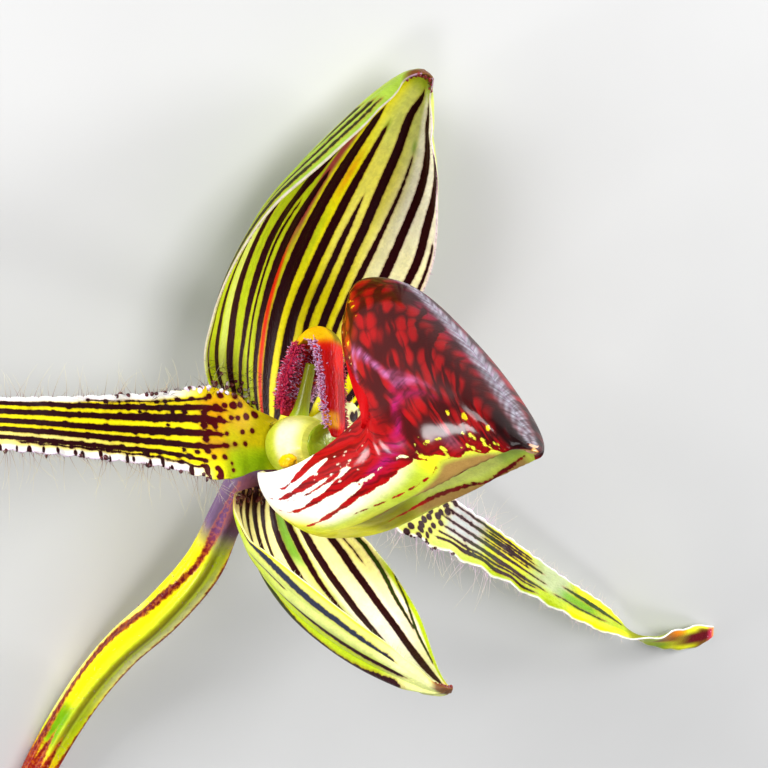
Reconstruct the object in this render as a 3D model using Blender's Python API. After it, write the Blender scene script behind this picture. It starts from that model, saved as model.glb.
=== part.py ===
"""A picked rothschild slipper orchid flower, lying on its back.

The flower is modelled upright in its own frame, in millimetres: x forward out of its face, y to its own left
and z up. An empty then turns it onto its back, so that it rests on the cut stem, the keel of the dorsal sepal
and the tip of the left petal. In the world X runs along the petals, Y towards the dorsal sepal and Z is up.
"""
import math

import bmesh
import bpy
import numpy as np
from mathutils import Matrix, Vector

MM = 0.001

# Walls and gaps
SEPAL_THICKNESS = 0.85
PETAL_THICKNESS = 0.8
LIP_THICKNESS = 1.0
KEEL_HEIGHT = 1.0
KEEL_START = 0.12
SEAT_GAP = 0.3
FLAT_DEPTH = 0.25

# Sepals. Each row: share of the length, forward, up, half width, cup in degrees
DORSAL_STATIONS = (
    (0.00, -0.4, 3.8, 11.5, 8),
    (0.06, -0.8, 9.5, 15.4, 14),
    (0.18, 0.2, 19.0, 18.6, 32),
    (0.36, 4.8, 31.3, 20.8, 50),
    (0.56, 12.4, 41.8, 20.0, 62),
    (0.74, 21.4, 49.8, 15.6, 78),
    (0.87, 29.2, 55.2, 9.4, 88),
    (0.96, 35.0, 57.2, 4.2, 74),
    (1.00, 37.4, 56.6, 1.2, 20),
)
SYNSEPAL_STATIONS = (
    (0.00, -0.6, -6.9, 8.0, 18),
    (0.08, -1.4, -11.6, 10.8, 36),
    (0.25, 1.5, -20.8, 14.4, 50),
    (0.42, 8.2, -28.6, 16.6, 62),
    (0.60, 17.6, -35.4, 16.2, 67),
    (0.78, 27.8, -40.7, 11.6, 72),
    (0.90, 35.2, -43.5, 6.4, 76),
    (0.97, 39.6, -44.6, 3.0, 60),
    (1.00, 41.6, -44.6, 1.2, 20),
)
# How much wider the left half is than the right, near the base and at the tip; it grows in up to a share
DORSAL_LEFT_WIDENING = (0.18, 0.18)
SYNSEPAL_LEFT_WIDENING = (0.38, -0.48)
WIDENING_GROWN = 0.25
# How far the middle of the blade bows to the left, most of all in its lower half
DORSAL_BOW = 0.0
SYNSEPAL_BOW = 2.6
BOW_POWER = 0.85
DORSAL_NERVES = 12
SYNSEPAL_NERVES = 10
NERVE_RELIEF = 0.16

# Petals. Each row: share of the length, forward, sideways, up, half width, cup and twist in degrees
PETAL_STATIONS = (
    (0.00, 2.4, 0.5, -0.8, 4.4, 2, 0),
    (0.04, 2.5, 5.5, -0.9, 5.4, 4, 0),
    (0.08, 2.6, 10.0, -1.2, 7.2, 8, 0),
    (0.13, 2.5, 16.0, -2.0, 8.1, 10, 0),
    (0.18, 2.0, 23.0, -3.5, 6.9, 12, 0),
    (0.31, 1.2, 38.5, -7.4, 5.4, 14, 0),
    (0.45, 0.6, 56.0, -12.0, 4.3, 12, 0),
    (0.60, 0.3, 74.0, -17.2, 3.3, 6, 0),
    (0.75, 0.0, 90.0, -21.2, 2.6, 0, 15),
    (0.82, 0.0, 98.5, -23.2, 2.2, 0, 75),
    (0.90, 0.5, 108.5, -22.8, 2.6, 10, 130),
    (0.97, 1.5, 116.6, -21.2, 2.1, 10, 150),
    (1.00, 2.2, 119.2, -20.2, 1.0, 6, 150),
)
RIGHT_PETAL_DROOP = 0.47
RIGHT_PETAL_WIDTH = 0.95
LEFT_PETAL_WIDTH = 1.04
PETAL_WAVE_HEIGHT = 0.55
PETAL_WAVES = 15

# Lip. Each row: share of the length, sole forward and up, rim or crest forward and up, half width,
# angle at which the wall ends in degrees, 180 where both edges meet on the crest
LIP_STATIONS = (
    (0.00, 3.5, -6.7, 4.9, -6.5, 7.2, 80),
    (0.05, 5.8, -12.8, 7.6, -7.4, 9.4, 84),
    (0.12, 11.0, -16.8, 12.6, -8.0, 10.2, 88),
    (0.20, 18.0, -18.4, 19.4, -7.4, 10.6, 92),
    (0.27, 24.5, -18.2, 26.6, -5.2, 10.8, 98),
    (0.34, 30.0, -17.2, 32.8, -1.8, 10.9, 104),
    (0.40, 34.0, -16.3, 34.6, 2.0, 11.0, 110),
    (0.46, 38.0, -15.6, 31.4, 6.4, 11.2, 118),
    (0.52, 41.4, -15.0, 27.0, 11.2, 11.4, 132),
    (0.58, 44.8, -14.4, 23.9, 17.2, 11.2, 150),
    (0.64, 47.8, -13.8, 23.4, 23.6, 10.8, 180),
    (0.72, 51.0, -13.2, 31.4, 22.4, 10.0, 180),
    (0.81, 54.1, -12.6, 39.7, 15.6, 8.8, 180),
    (0.90, 56.8, -12.0, 48.5, 6.2, 7.2, 180),
    (0.97, 58.9, -11.4, 55.4, -3.0, 4.8, 180),
    (1.00, 59.8, -10.6, 58.0, -7.2, 2.6, 180),
)
# Groove under the sole: share of the length, depth
LIP_GROOVE = ((0.0, 0.0), (0.14, 0.0), (0.30, 1.6), (0.50, 3.6), (0.80, 4.0), (0.94, 2.4), (1.00, 0.2))
LIP_GROOVE_HALF_WIDTH = 3.6

# Staminode: share of the length, forward, up, half width, cup in degrees
STAMINODE_STATIONS = (
    (0.00, 4.9, 4.25, 2.2, 12),
    (0.12, 5.4, 7.9, 3.2, 34),
    (0.28, 7.2, 13.0, 4.0, 50),
    (0.40, 9.6, 16.6, 4.4, 58),
    (0.50, 12.4, 17.9, 4.4, 62),
    (0.60, 14.8, 16.0, 3.9, 56),
    (0.74, 15.8, 10.4, 2.8, 44),
    (0.88, 16.2, 4.2, 2.5, 36),
    (0.96, 16.4, 0.6, 2.0, 20),
    (1.00, 16.4, -1.2, 1.0, 8),
)
STAMINODE_THICKNESS = 1.1

# Stem, ovary and receptacle, from the cut end to the front: share of the length, forward, up, radius
STEM_STATIONS = (
    (0.00, -66.0, -56.5, 2.85),
    (0.10, -60.4, -49.4, 2.95),
    (0.22, -51.8, -40.6, 3.1),
    (0.40, -39.2, -31.4, 3.3),
    (0.55, -26.6, -25.2, 3.4),
    (0.68, -16.8, -18.6, 3.3),
    (0.80, -11.2, -11.2, 3.0),
    (0.89, -6.0, -4.8, 3.3),
    (0.95, -1.8, -1.5, 4.3),
    (0.98, 0.3, -1.0, 4.5),
    (1.00, 1.6, -1.0, 3.7),
)
STEM_RIDGES = 6
STEM_RIDGE_SHARE = 0.09
RIDGE_END = 0.9

# Column: share of the length, forward, up, radius
COLUMN_STATIONS = (
    (0.00, 3.4, -1.1, 4.2),
    (0.20, 5.2, -1.1, 4.9),
    (0.60, 8.6, -1.2, 4.8),
    (1.00, 12.0, -1.8, 3.8),
)
STIGMA_RADIUS = 3.6
STIGMA_THICKNESS = 1.6
ANTHER_CENTRE = (10.0, 5.0, -5.1)
ANTHER_RADII = (2.0, 1.4, 1.4)

# Mesh fineness
DORSAL_GRID = (22, 24)
SYNSEPAL_GRID = (20, 20)
PETAL_GRID = (62, 6)
LIP_GRID = (38, 28)
STAMINODE_GRID = (18, 6)
STEM_GRID = (30, 18)
COLUMN_GRID = (6, 16)

# Colours, roughness
FINISHES = {
    "sepal_skin": ((0.42, 0.43, 0.08), 0.45),
    "petal_skin": ((0.50, 0.42, 0.06), 0.45),
    "lip_skin": ((0.36, 0.01, 0.02), 0.25),
    "staminode_skin": ((0.45, 0.06, 0.10), 0.5),
    "column_skin": ((0.75, 0.72, 0.40), 0.4),
    "stigma_skin": ((0.20, 0.27, 0.04), 0.3),
    "anther_skin": ((0.72, 0.45, 0.08), 0.5),
    "stem_skin": ((0.42, 0.40, 0.06), 0.4),
}


def clear_scene():
    """Remove every object, so that the file starts empty."""
    for item in list(bpy.data.objects):
        bpy.data.objects.remove(item, do_unlink=True)


def smooth(rows, shares):
    """Values between the rows, read from one smooth curve through all of them."""
    table = np.asarray(rows, float)
    knots, values = table[:, 0], table[:, 1:]
    steps = np.diff(knots)[:, None]
    slopes = np.diff(values, axis=0) / steps
    tangents = np.empty_like(values)
    tangents[0], tangents[-1] = slopes[0], slopes[-1]
    tangents[1:-1] = (slopes[:-1] * steps[1:] + slopes[1:] * steps[:-1]) / (steps[1:] + steps[:-1])
    shares = np.atleast_1d(np.asarray(shares, float))
    row = np.clip(np.searchsorted(knots, shares, side="right") - 1, 0, len(knots) - 2)
    step = steps[row]
    t = (shares - knots[row])[:, None] / step
    start = (2 * t**3 - 3 * t**2 + 1) * values[row] + (t**3 - 2 * t**2 + t) * step * tangents[row]
    end = (3 * t**2 - 2 * t**3) * values[row + 1] + (t**3 - t**2) * step * tangents[row + 1]
    return start + end


def unit(vectors):
    """The vectors at length one."""
    return vectors / np.linalg.norm(vectors, axis=-1, keepdims=True)


def directions(points):
    """Unit directions along a line of points."""
    return unit(np.gradient(points, axis=0))


def cupped_sheet(spine, half_width, cup, twist, across_axis, across):
    """A blade along a spine, each of its cross sections an arc of twice the cup angle."""
    along = directions(spine)
    side = np.broadcast_to(np.asarray(across_axis, float), spine.shape)
    side = unit(side - along * np.sum(side * along, axis=1, keepdims=True))
    inward = np.cross(side, along)
    turned_side = side * np.cos(twist)[:, None] + inward * np.sin(twist)[:, None]
    turned_in = inward * np.cos(twist)[:, None] - side * np.sin(twist)[:, None]
    bend = np.where(np.abs(cup) < 0.001, 0.001, cup)[:, None]
    reach = half_width[:, None] * np.sin(bend * across) / bend
    rise = half_width[:, None] * (1 - np.cos(bend * across)) / bend
    return spine[:, None, :] + reach[..., None] * turned_side[:, None, :] + rise[..., None] * turned_in[:, None, :]


def nerve_relief(columns, nerves):
    """A row of shallow folds from edge to edge, alike on both halves."""
    across = np.linspace(-1, 1, columns + 1)
    return NERVE_RELIEF * np.cos(math.pi * nerves * across)


def sepal_sheet(stations, grid, side_sign, nerves, widening, bow):
    """The boat-shaped middle surface of a sepal."""
    rows, columns = grid
    shares = np.linspace(0, 1, rows + 1)
    forward, up, half_width, cup = smooth(stations, shares).T
    sideways = bow * np.sin(math.pi * shares**BOW_POWER)
    spine = np.stack([forward, sideways, up], axis=1)
    across = np.linspace(-1, 1, columns + 1)[None, :]
    wider = widening[0] + (widening[1] - widening[0]) * shares[:, None]
    wider = wider * np.clip(shares[:, None] / WIDENING_GROWN, 0, 1)
    across = across * (1 + wider * (side_sign * across > 0))
    sheet = cupped_sheet(spine, half_width, np.radians(cup), np.zeros(rows + 1), (0, side_sign, 0), across)
    fade = np.sin(math.pi * np.clip(shares * 1.08, 0, 1)) ** 0.5
    inward = unit(np.cross(np.gradient(sheet, axis=1), np.gradient(sheet, axis=0)))
    return sheet + inward * (fade[:, None] * nerve_relief(columns, nerves)[None, :])[..., None]


def petal_sheet(side_sign, droop, width):
    """The middle surface of a petal, with a wave along both edges and a twist near the tip."""
    rows, columns = PETAL_GRID
    shares = np.linspace(0, 1, rows + 1)
    forward, sideways, up, half_width, cup, twist = smooth(PETAL_STATIONS, shares).T
    half_width = half_width * width
    spine = np.stack([forward, side_sign * sideways, droop * up], axis=1)
    across = np.linspace(-1, 1, columns + 1)[None, :]
    sheet = cupped_sheet(spine, half_width, np.radians(cup), np.radians(side_sign * twist), (0, 0, -side_sign), across)
    wave = np.sin(2 * math.pi * PETAL_WAVES * shares) * np.clip(half_width / 5.0, 0.3, 1)
    wave = PETAL_WAVE_HEIGHT * wave * np.clip(shares / 0.1, 0, 1)
    phase = np.cos(2 * math.pi * PETAL_WAVES * shares)
    lift = wave[:, None] * np.clip(across, 0, 1) ** 2 + (wave * phase)[:, None] * np.clip(-across, 0, 1) ** 2
    normal = unit(np.cross(np.gradient(sheet, axis=1), np.gradient(sheet, axis=0)))
    return sheet + normal * lift[..., None]


def lip_sheet():
    """The outer skin of the slipper: a channel from the column, which closes over into the pointed pouch."""
    rows, columns = LIP_GRID
    shares = np.linspace(0, 1, rows + 1)
    sole_x, sole_z, rim_x, rim_z, half_width, closing = smooth(LIP_STATIONS, shares).T
    groove = smooth(LIP_GROOVE, shares)[:, 0]
    closing = np.radians(np.clip(closing, 0, 180))
    sole = np.stack([sole_x, np.zeros_like(sole_x), sole_z], axis=1)
    rim = np.stack([rim_x, np.zeros_like(rim_x), rim_z], axis=1)
    height = np.linalg.norm(rim - sole, axis=1)
    upward = (rim - sole) / height[:, None]
    full_height = 2 * height / (1 - np.cos(closing))
    angle = closing[:, None] * np.linspace(-1, 1, columns + 1)[None, :]
    sideways = half_width[:, None] * np.sin(angle)
    lift = full_height[:, None] * (1 - np.cos(angle)) / 2
    inside = np.clip(1 - (sideways / LIP_GROOVE_HALF_WIDTH) ** 2, 0, 1) * (np.cos(angle) > 0)
    lift = lift + groove[:, None] * inside
    across = np.array([0.0, -1.0, 0.0])
    return sole[:, None, :] + lift[..., None] * upward[:, None, :] + sideways[..., None] * across


def staminode_sheet():
    """The middle surface of the shield that bends over the column, arched from side to side."""
    rows, columns = STAMINODE_GRID
    shares = np.linspace(0, 1, rows + 1)
    forward, up, half_width, cup = smooth(STAMINODE_STATIONS, shares).T
    spine = np.stack([forward, np.zeros_like(forward), up], axis=1)
    across = np.linspace(-1, 1, columns + 1)[None, :]
    return cupped_sheet(spine, half_width, np.radians(cup), np.zeros(rows + 1), (0, 1, 0), across)


def ringed_body(stations, grid, ridges=0):
    """Rings round a smooth path, ribbed lengthwise where it has ridges."""
    rows, sides = grid
    shares = np.linspace(0, 1, rows + 1)
    forward, up, radius = smooth(stations, shares).T
    path = np.stack([forward, np.zeros_like(forward), up], axis=1)
    along = directions(path)
    normal = np.stack([-along[:, 2], np.zeros_like(forward), along[:, 0]], axis=1)
    turn = np.linspace(0, 2 * math.pi, sides, endpoint=False)
    fade = np.clip((RIDGE_END - shares) / 0.1, 0, 1)
    ribs = 1 + STEM_RIDGE_SHARE * fade[:, None] * np.cos(ridges * turn)[None, :] * (ridges > 0)
    reach = radius[:, None] * ribs
    ring = np.cos(turn)[None, :, None] * np.array([0.0, 1.0, 0.0])
    ring = ring + np.sin(turn)[None, :, None] * normal[:, None, :]
    return path[:, None, :] + reach[..., None] * ring


def grid_mesh(name, points, closed_round=False, weld=False):
    """A mesh of the grid's cells, split into triangles: a sheet, a capped ring body or a welded pouch."""
    rows, columns = points.shape[:2]
    mesh = bmesh.new()
    verts = [[mesh.verts.new(Vector(point) * MM) for point in line] for line in points]
    last = columns if closed_round else columns - 1
    for row in range(rows - 1):
        for column in range(last):
            beside = (column + 1) % columns
            corners = (verts[row][column], verts[row][beside], verts[row + 1][beside], verts[row + 1][column])
            mesh.faces.new(corners)
    if closed_round:
        mesh.faces.new(list(reversed(verts[0])))
        mesh.faces.new(verts[-1])
        bmesh.ops.recalc_face_normals(mesh, faces=mesh.faces)
    if weld:
        toe = verts[-1]
        bmesh.ops.remove_doubles(mesh, verts=mesh.verts, dist=0.001 * MM)
        rim = [edge for edge in mesh.edges if edge.is_boundary and all(v in toe for v in edge.verts)]
        bmesh.ops.holes_fill(mesh, edges=rim, sides=0)
        bmesh.ops.reverse_faces(mesh, faces=mesh.faces)
    bmesh.ops.triangulate(mesh, faces=mesh.faces)
    data = bpy.data.meshes.new(name)
    mesh.to_mesh(data)
    mesh.free()
    data.shade_smooth()
    return data


def finish(name):
    """The named finish as a Principled material."""
    material = bpy.data.materials.get(name)
    if material:
        return material
    colour, roughness = FINISHES[name]
    material = bpy.data.materials.new(name)
    material.use_nodes = True
    shader = material.node_tree.nodes["Principled BSDF"]
    shader.inputs["Base Color"].default_value = (*colour, 1)
    shader.inputs["Roughness"].default_value = roughness
    shader.inputs["Metallic"].default_value = 0
    return material


def add_piece(name, mesh, finish_name, flower):
    """One named piece of the flower."""
    piece = bpy.data.objects.new(name, mesh)
    bpy.context.collection.objects.link(piece)
    piece.parent = flower
    mesh.materials.append(finish(finish_name))
    return piece


def thicken(piece, thickness, offset=0.0):
    """Give a sheet its thickness."""
    solid = piece.modifiers.new("thickness", "SOLIDIFY")
    solid.thickness = thickness * MM
    solid.offset = offset
    return solid


def add_keels(piece, solid, grid, keels):
    """Raise the keels on the back of a sepal, as extra thickness along whole columns of its grid."""
    rows, columns = grid
    group = piece.vertex_groups.new(name="keel")
    full = SEPAL_THICKNESS + KEEL_HEIGHT
    plain = SEPAL_THICKNESS / full
    for vertex in piece.data.vertices:
        row, column = divmod(vertex.index, columns + 1)
        rising, falling = (row / rows - KEEL_START) / KEEL_START, (1 - row / rows) / KEEL_START
        height = min(max(rising, 0.0), falling, 1.0)
        group.add([vertex.index], height if column in keels else 0.0, "REPLACE")
    solid.thickness = full * MM
    solid.vertex_group = group.name
    solid.thickness_vertex_group = plain


def build_sepals(flower):
    """The dorsal sepal and the synsepal, each with its keels on the back."""
    dorsal = sepal_sheet(DORSAL_STATIONS, DORSAL_GRID, 1, DORSAL_NERVES, DORSAL_LEFT_WIDENING, DORSAL_BOW)
    synsepal = sepal_sheet(
        SYNSEPAL_STATIONS, SYNSEPAL_GRID, -1, SYNSEPAL_NERVES, SYNSEPAL_LEFT_WIDENING, SYNSEPAL_BOW
    )
    middle = SYNSEPAL_GRID[1] // 2
    for name, sheet, grid, keels in (
        ("dorsal_sepal", dorsal, DORSAL_GRID, (DORSAL_GRID[1] // 2,)),
        ("synsepal", synsepal, SYNSEPAL_GRID, (middle - 3, middle + 3)),
    ):
        piece = add_piece(name, grid_mesh(name, sheet), "sepal_skin", flower)
        solid = thicken(piece, SEPAL_THICKNESS, offset=-1.0)
        add_keels(piece, solid, grid, keels)


def build_petals(flower):
    """The two long petals."""
    for name, side_sign, droop, width in (
        ("right_petal", -1, RIGHT_PETAL_DROOP, RIGHT_PETAL_WIDTH),
        ("left_petal", 1, 1.0, LEFT_PETAL_WIDTH),
    ):
        piece = add_piece(name, grid_mesh(name, petal_sheet(side_sign, droop, width)), "petal_skin", flower)
        thicken(piece, PETAL_THICKNESS)


def build_lip(flower):
    """The slipper-shaped lip, open above between the column and the hood."""
    piece = add_piece("pouch", grid_mesh("pouch", lip_sheet(), weld=True), "lip_skin", flower)
    thicken(piece, LIP_THICKNESS, offset=-1.0)


def build_column(flower):
    """The column with its staminode, stigma and two anthers."""
    body = grid_mesh("column", ringed_body(COLUMN_STATIONS, COLUMN_GRID), closed_round=True)
    add_piece("column", body, "column_skin", flower)
    shield = add_piece("staminode", grid_mesh("staminode", staminode_sheet()), "staminode_skin", flower)
    thicken(shield, STAMINODE_THICKNESS)
    radii = (STIGMA_THICKNESS / 2, STIGMA_RADIUS, STIGMA_RADIUS)
    end = np.array(COLUMN_STATIONS[-1][1:3])
    outward = unit(end - np.array(COLUMN_STATIONS[-2][1:3]))
    seat = end + outward * (SEAT_GAP + STIGMA_THICKNESS / 2)
    tilt = -math.degrees(math.atan2(outward[1], outward[0]))
    add_rounded("stigma", (seat[0], 0, seat[1]), radii, "stigma_skin", flower, tilt)
    forward, sideways, up = ANTHER_CENTRE
    for name, side_sign in (("anther_right", -1), ("anther_left", 1)):
        add_rounded(name, (forward, side_sign * sideways, up), ANTHER_RADII, "anther_skin", flower, 0)


def add_rounded(name, centre, radii, finish_name, flower, tilt):
    """A small rounded body."""
    mesh = bmesh.new()
    bmesh.ops.create_icosphere(mesh, subdivisions=2, radius=MM)
    bmesh.ops.scale(mesh, vec=radii, verts=mesh.verts)
    data = bpy.data.meshes.new(name)
    mesh.to_mesh(data)
    mesh.free()
    data.shade_smooth()
    piece = add_piece(name, data, finish_name, flower)
    piece.location = Vector(centre) * MM
    piece.rotation_euler = (0, math.radians(tilt), 0)


def build_stem(flower):
    """The cut stem with the ribbed ovary, and the receptacle that holds the flower."""
    rings = ringed_body(STEM_STATIONS, STEM_GRID, STEM_RIDGES)
    add_piece("stem", grid_mesh("stem", rings, closed_round=True), "stem_skin", flower)


def solid_points(name, matrix=None):
    """The corners of a piece with its modifiers."""
    graph = bpy.context.evaluated_depsgraph_get()
    evaluated = bpy.data.objects[name].evaluated_get(graph)
    mesh = evaluated.to_mesh()
    points = np.array([vertex.co[:] for vertex in mesh.vertices])
    evaluated.to_mesh_clear()
    if matrix is None:
        return points
    return points @ np.array(matrix.to_3x3()).T + np.array(matrix.translation)


def resting_turn(supports):
    """The turn that lays the flower on the lowest points of its three supports."""
    up = unit(np.array([0.77, -0.2, -0.62]))
    clouds = [solid_points(name) for name in supports]
    for _ in range(40):
        lowest = [cloud[np.argmin(cloud @ up)] for cloud in clouds]
        normal = unit(np.cross(lowest[1] - lowest[0], lowest[2] - lowest[0]))
        up = normal if normal @ up > 0 else -normal
    along_petals = unit(np.array([0.0, 1.0, 0.0]) - up * up[1])
    to_dorsal = np.cross(up, along_petals)
    return Matrix([along_petals, to_dorsal, up]).to_4x4()


def lay_down(flower):
    """Turn the flower onto its back and press small flats where it touches the surface."""
    supports = ("stem", "dorsal_sepal", "left_petal")
    turn = resting_turn(supports)
    lowest = min(float(solid_points(name, turn)[:, 2].min()) for name in supports)
    flower.matrix_world = Matrix.Translation((0, 0, -lowest - FLAT_DEPTH * MM)) @ turn
    bpy.context.view_layer.update()
    surface = floor_cutter()
    for name in supports:
        cut = bpy.data.objects[name].modifiers.new("flat", "BOOLEAN")
        cut.operation = "DIFFERENCE"
        cut.solver = "EXACT"
        cut.object = surface
    bpy.context.view_layer.update()
    names = [item.name for item in bpy.data.objects if item.type == "MESH" and item is not surface]
    corners = [solid_points(name, bpy.data.objects[name].matrix_world) for name in names]
    low = np.min([points.min(axis=0) for points in corners], axis=0)
    high = np.max([points.max(axis=0) for points in corners], axis=0)
    shift = -(low + high) / 2
    flower.location.x += shift[0]
    flower.location.y += shift[1]


def floor_cutter():
    """A block under the surface, which is only a tool."""
    mesh = bmesh.new()
    bmesh.ops.create_cube(mesh, size=1.0)
    bmesh.ops.scale(mesh, vec=(0.6, 0.6, 0.02), verts=mesh.verts)
    bmesh.ops.translate(mesh, vec=(0, 0, -0.01), verts=mesh.verts)
    data = bpy.data.meshes.new("surface")
    mesh.to_mesh(data)
    mesh.free()
    cutter = bpy.data.objects.new("surface", data)
    bpy.context.collection.objects.link(cutter)
    cutter.hide_render = True
    cutter.display_type = "WIRE"
    return cutter


def main():
    """Build the flower."""
    clear_scene()
    flower = bpy.data.objects.new("flower", None)
    bpy.context.collection.objects.link(flower)
    build_stem(flower)
    build_sepals(flower)
    build_petals(flower)
    build_lip(flower)
    build_column(flower)
    bpy.context.view_layer.update()
    lay_down(flower)


if __name__ == "__main__":
    main()
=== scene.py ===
"""The looks of a picked rothschild slipper orchid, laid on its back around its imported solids.

The flower is shaped upright in its own frame, in millimetres: x forward out of its face, y to its own left
and z up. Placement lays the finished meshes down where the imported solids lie. Every blade is a sheet of rows
along it, at a share from 0 at the base to 1 at the tip, and of columns across it, at a place from -1 to 1.
"""

import logging
import math
from dataclasses import dataclass, field
from enum import Enum

import bpy
import numpy as np
from mathutils import Euler, Matrix, Vector

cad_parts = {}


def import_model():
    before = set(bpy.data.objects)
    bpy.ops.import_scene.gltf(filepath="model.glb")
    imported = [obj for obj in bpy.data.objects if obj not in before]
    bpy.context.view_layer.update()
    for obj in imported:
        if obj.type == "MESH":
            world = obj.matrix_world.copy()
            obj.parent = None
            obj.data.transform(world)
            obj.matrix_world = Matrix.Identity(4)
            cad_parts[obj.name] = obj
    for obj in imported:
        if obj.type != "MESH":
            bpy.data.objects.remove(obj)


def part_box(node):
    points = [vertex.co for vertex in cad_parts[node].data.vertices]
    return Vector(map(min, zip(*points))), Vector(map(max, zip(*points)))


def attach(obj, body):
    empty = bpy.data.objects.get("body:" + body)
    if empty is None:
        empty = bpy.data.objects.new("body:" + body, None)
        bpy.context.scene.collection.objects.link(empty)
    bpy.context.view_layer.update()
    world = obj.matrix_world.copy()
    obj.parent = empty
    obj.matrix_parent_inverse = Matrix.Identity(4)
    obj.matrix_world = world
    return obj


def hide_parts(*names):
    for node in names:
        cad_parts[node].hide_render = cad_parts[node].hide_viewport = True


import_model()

MM = 0.001
SEED = 20
log = logging.getLogger("orchid")

Array = np.ndarray
Tree = bpy.types.NodeTree
Socket = bpy.types.NodeSocket
Material = bpy.types.Material
Values = dict[str, Array]
Pair = tuple[float, float]
Triple = tuple[float, float, float]
Span = tuple[float, float, float, float]
Stripe = tuple[Triple, ...]

# The first and the last stretch of a span that reaches past the sheet
START = (-9, -8)
END = (8, 9)
ALL: Span = (*START, *END)
# The depth of a point that no marking is near, and of a skin without markings, in mm
FAR_OUT = -9.0
BARE = -2.0
LEFT = np.array([0.0, 1.0, 0.0])


class Hue(Enum):
    """The flower's colours, as red, green and blue of 255 under even light."""

    YELLOW = (252, 240, 10)
    GOLD = (240, 184, 8)
    LIME = (180, 200, 22)
    MOSS = (138, 156, 22)
    GREEN = (96, 156, 6)
    PINE = (40, 62, 6)
    OLIVE = (112, 106, 6)
    CREAM = (248, 242, 190)
    IVORY = (252, 248, 228)
    PALE_GREEN = (212, 220, 118)
    WHITE = (252, 250, 248)
    LILAC = (218, 180, 222)
    # Laid on only as painted sheen
    SHEEN_GREY = (172, 174, 186)
    SLATE = (40, 44, 62)
    MAROON = (38, 0, 6)
    WINE = (92, 2, 14)
    EMBER = (226, 44, 4)
    ORANGE = (240, 128, 8)
    ROSE = (160, 66, 58)
    PINK = (214, 54, 88)
    MAGENTA = (172, 20, 104)
    # Laid on only as painted sheen
    SHEEN_VIOLET = (208, 128, 192)
    PLUM = (104, 14, 58)
    SCARLET = (226, 10, 8)
    CRIMSON = (150, 2, 10)
    RUST = (134, 20, 10)
    TAN = (158, 118, 66)
    UMBER = (88, 44, 16)
    HEATHER = (112, 78, 134)

    @property
    def linear(self) -> Array:
        """The colour as scene-linear red, green and blue."""
        share = np.array(self.value, float) / 255
        return np.where(share <= 0.04045, share / 12.92, ((share + 0.055) / 1.055) ** 2.4)


# Curves and sheets


def smooth(rows: Array | tuple, shares: Array) -> Array:
    """Read one smooth curve through all the rows.

    Args:
        rows: each row is a share and the values there.
        shares: where to read the values.

    Returns:
        One row of values for each share.
    """
    table = np.asarray(rows, float)
    knots, values = table[:, 0], table[:, 1:]
    steps = np.diff(knots)[:, None]
    slopes = np.diff(values, axis=0) / steps
    tangents = np.empty_like(values)
    tangents[0], tangents[-1] = slopes[0], slopes[-1]
    tangents[1:-1] = (slopes[:-1] * steps[1:] + slopes[1:] * steps[:-1]) / (steps[1:] + steps[:-1])
    shares = np.clip(np.atleast_1d(np.asarray(shares, float)), knots[0], knots[-1])
    row = np.clip(np.searchsorted(knots, shares, side="right") - 1, 0, len(knots) - 2)
    step = steps[row]
    t = (shares - knots[row])[:, None] / step
    start = (2 * t**3 - 3 * t**2 + 1) * values[row] + (t**3 - 2 * t**2 + t) * step * tangents[row]
    end = (3 * t**2 - 2 * t**3) * values[row + 1] + (t**3 - t**2) * step * tangents[row + 1]
    return start + end


def unit(vectors: Array) -> Array:
    """The vectors at length one."""
    return vectors / np.maximum(np.linalg.norm(vectors, axis=-1, keepdims=True), 1e-12)


def rise(x: Array, low: float, high: float) -> Array:
    """A soft step from 0 at low to 1 at high."""
    t = np.clip((x - low) / (high - low), 0, 1)
    return t * t * (3 - 2 * t)


def ramp(x: Array, span: Span) -> Array:
    """A value that grows over the first stretch of a span and falls over its last one."""
    return rise(x, span[0], span[1]) * (1 - rise(x, span[2], span[3]))


def after(low: float, high: float) -> Span:
    """A span that grows from low to high and stays."""
    return (low, high, *END)


def before(low: float, high: float) -> Span:
    """A span that holds from the start and falls from low to high."""
    return (*START, low, high)


def near(centre: float, width: float) -> Span:
    """A span that grows to its centre and falls again, this wide each way."""
    return (centre - width, centre, centre + 1e-6, centre + width)


def grid_lines(grid: tuple[int, int]) -> tuple[Array, Array]:
    """The shares along a sheet and the places across it, for so many rows and columns."""
    return np.linspace(0, 1, grid[0] + 1), np.linspace(-1, 1, grid[1] + 1)[None, :]


def in_plane(forward: Array, up: Array, sideways: Array | float = 0.0) -> Array:
    """Points in the flower's middle plane, or beside it."""
    return np.stack([forward, np.zeros_like(forward) + sideways, up], axis=1)


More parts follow.
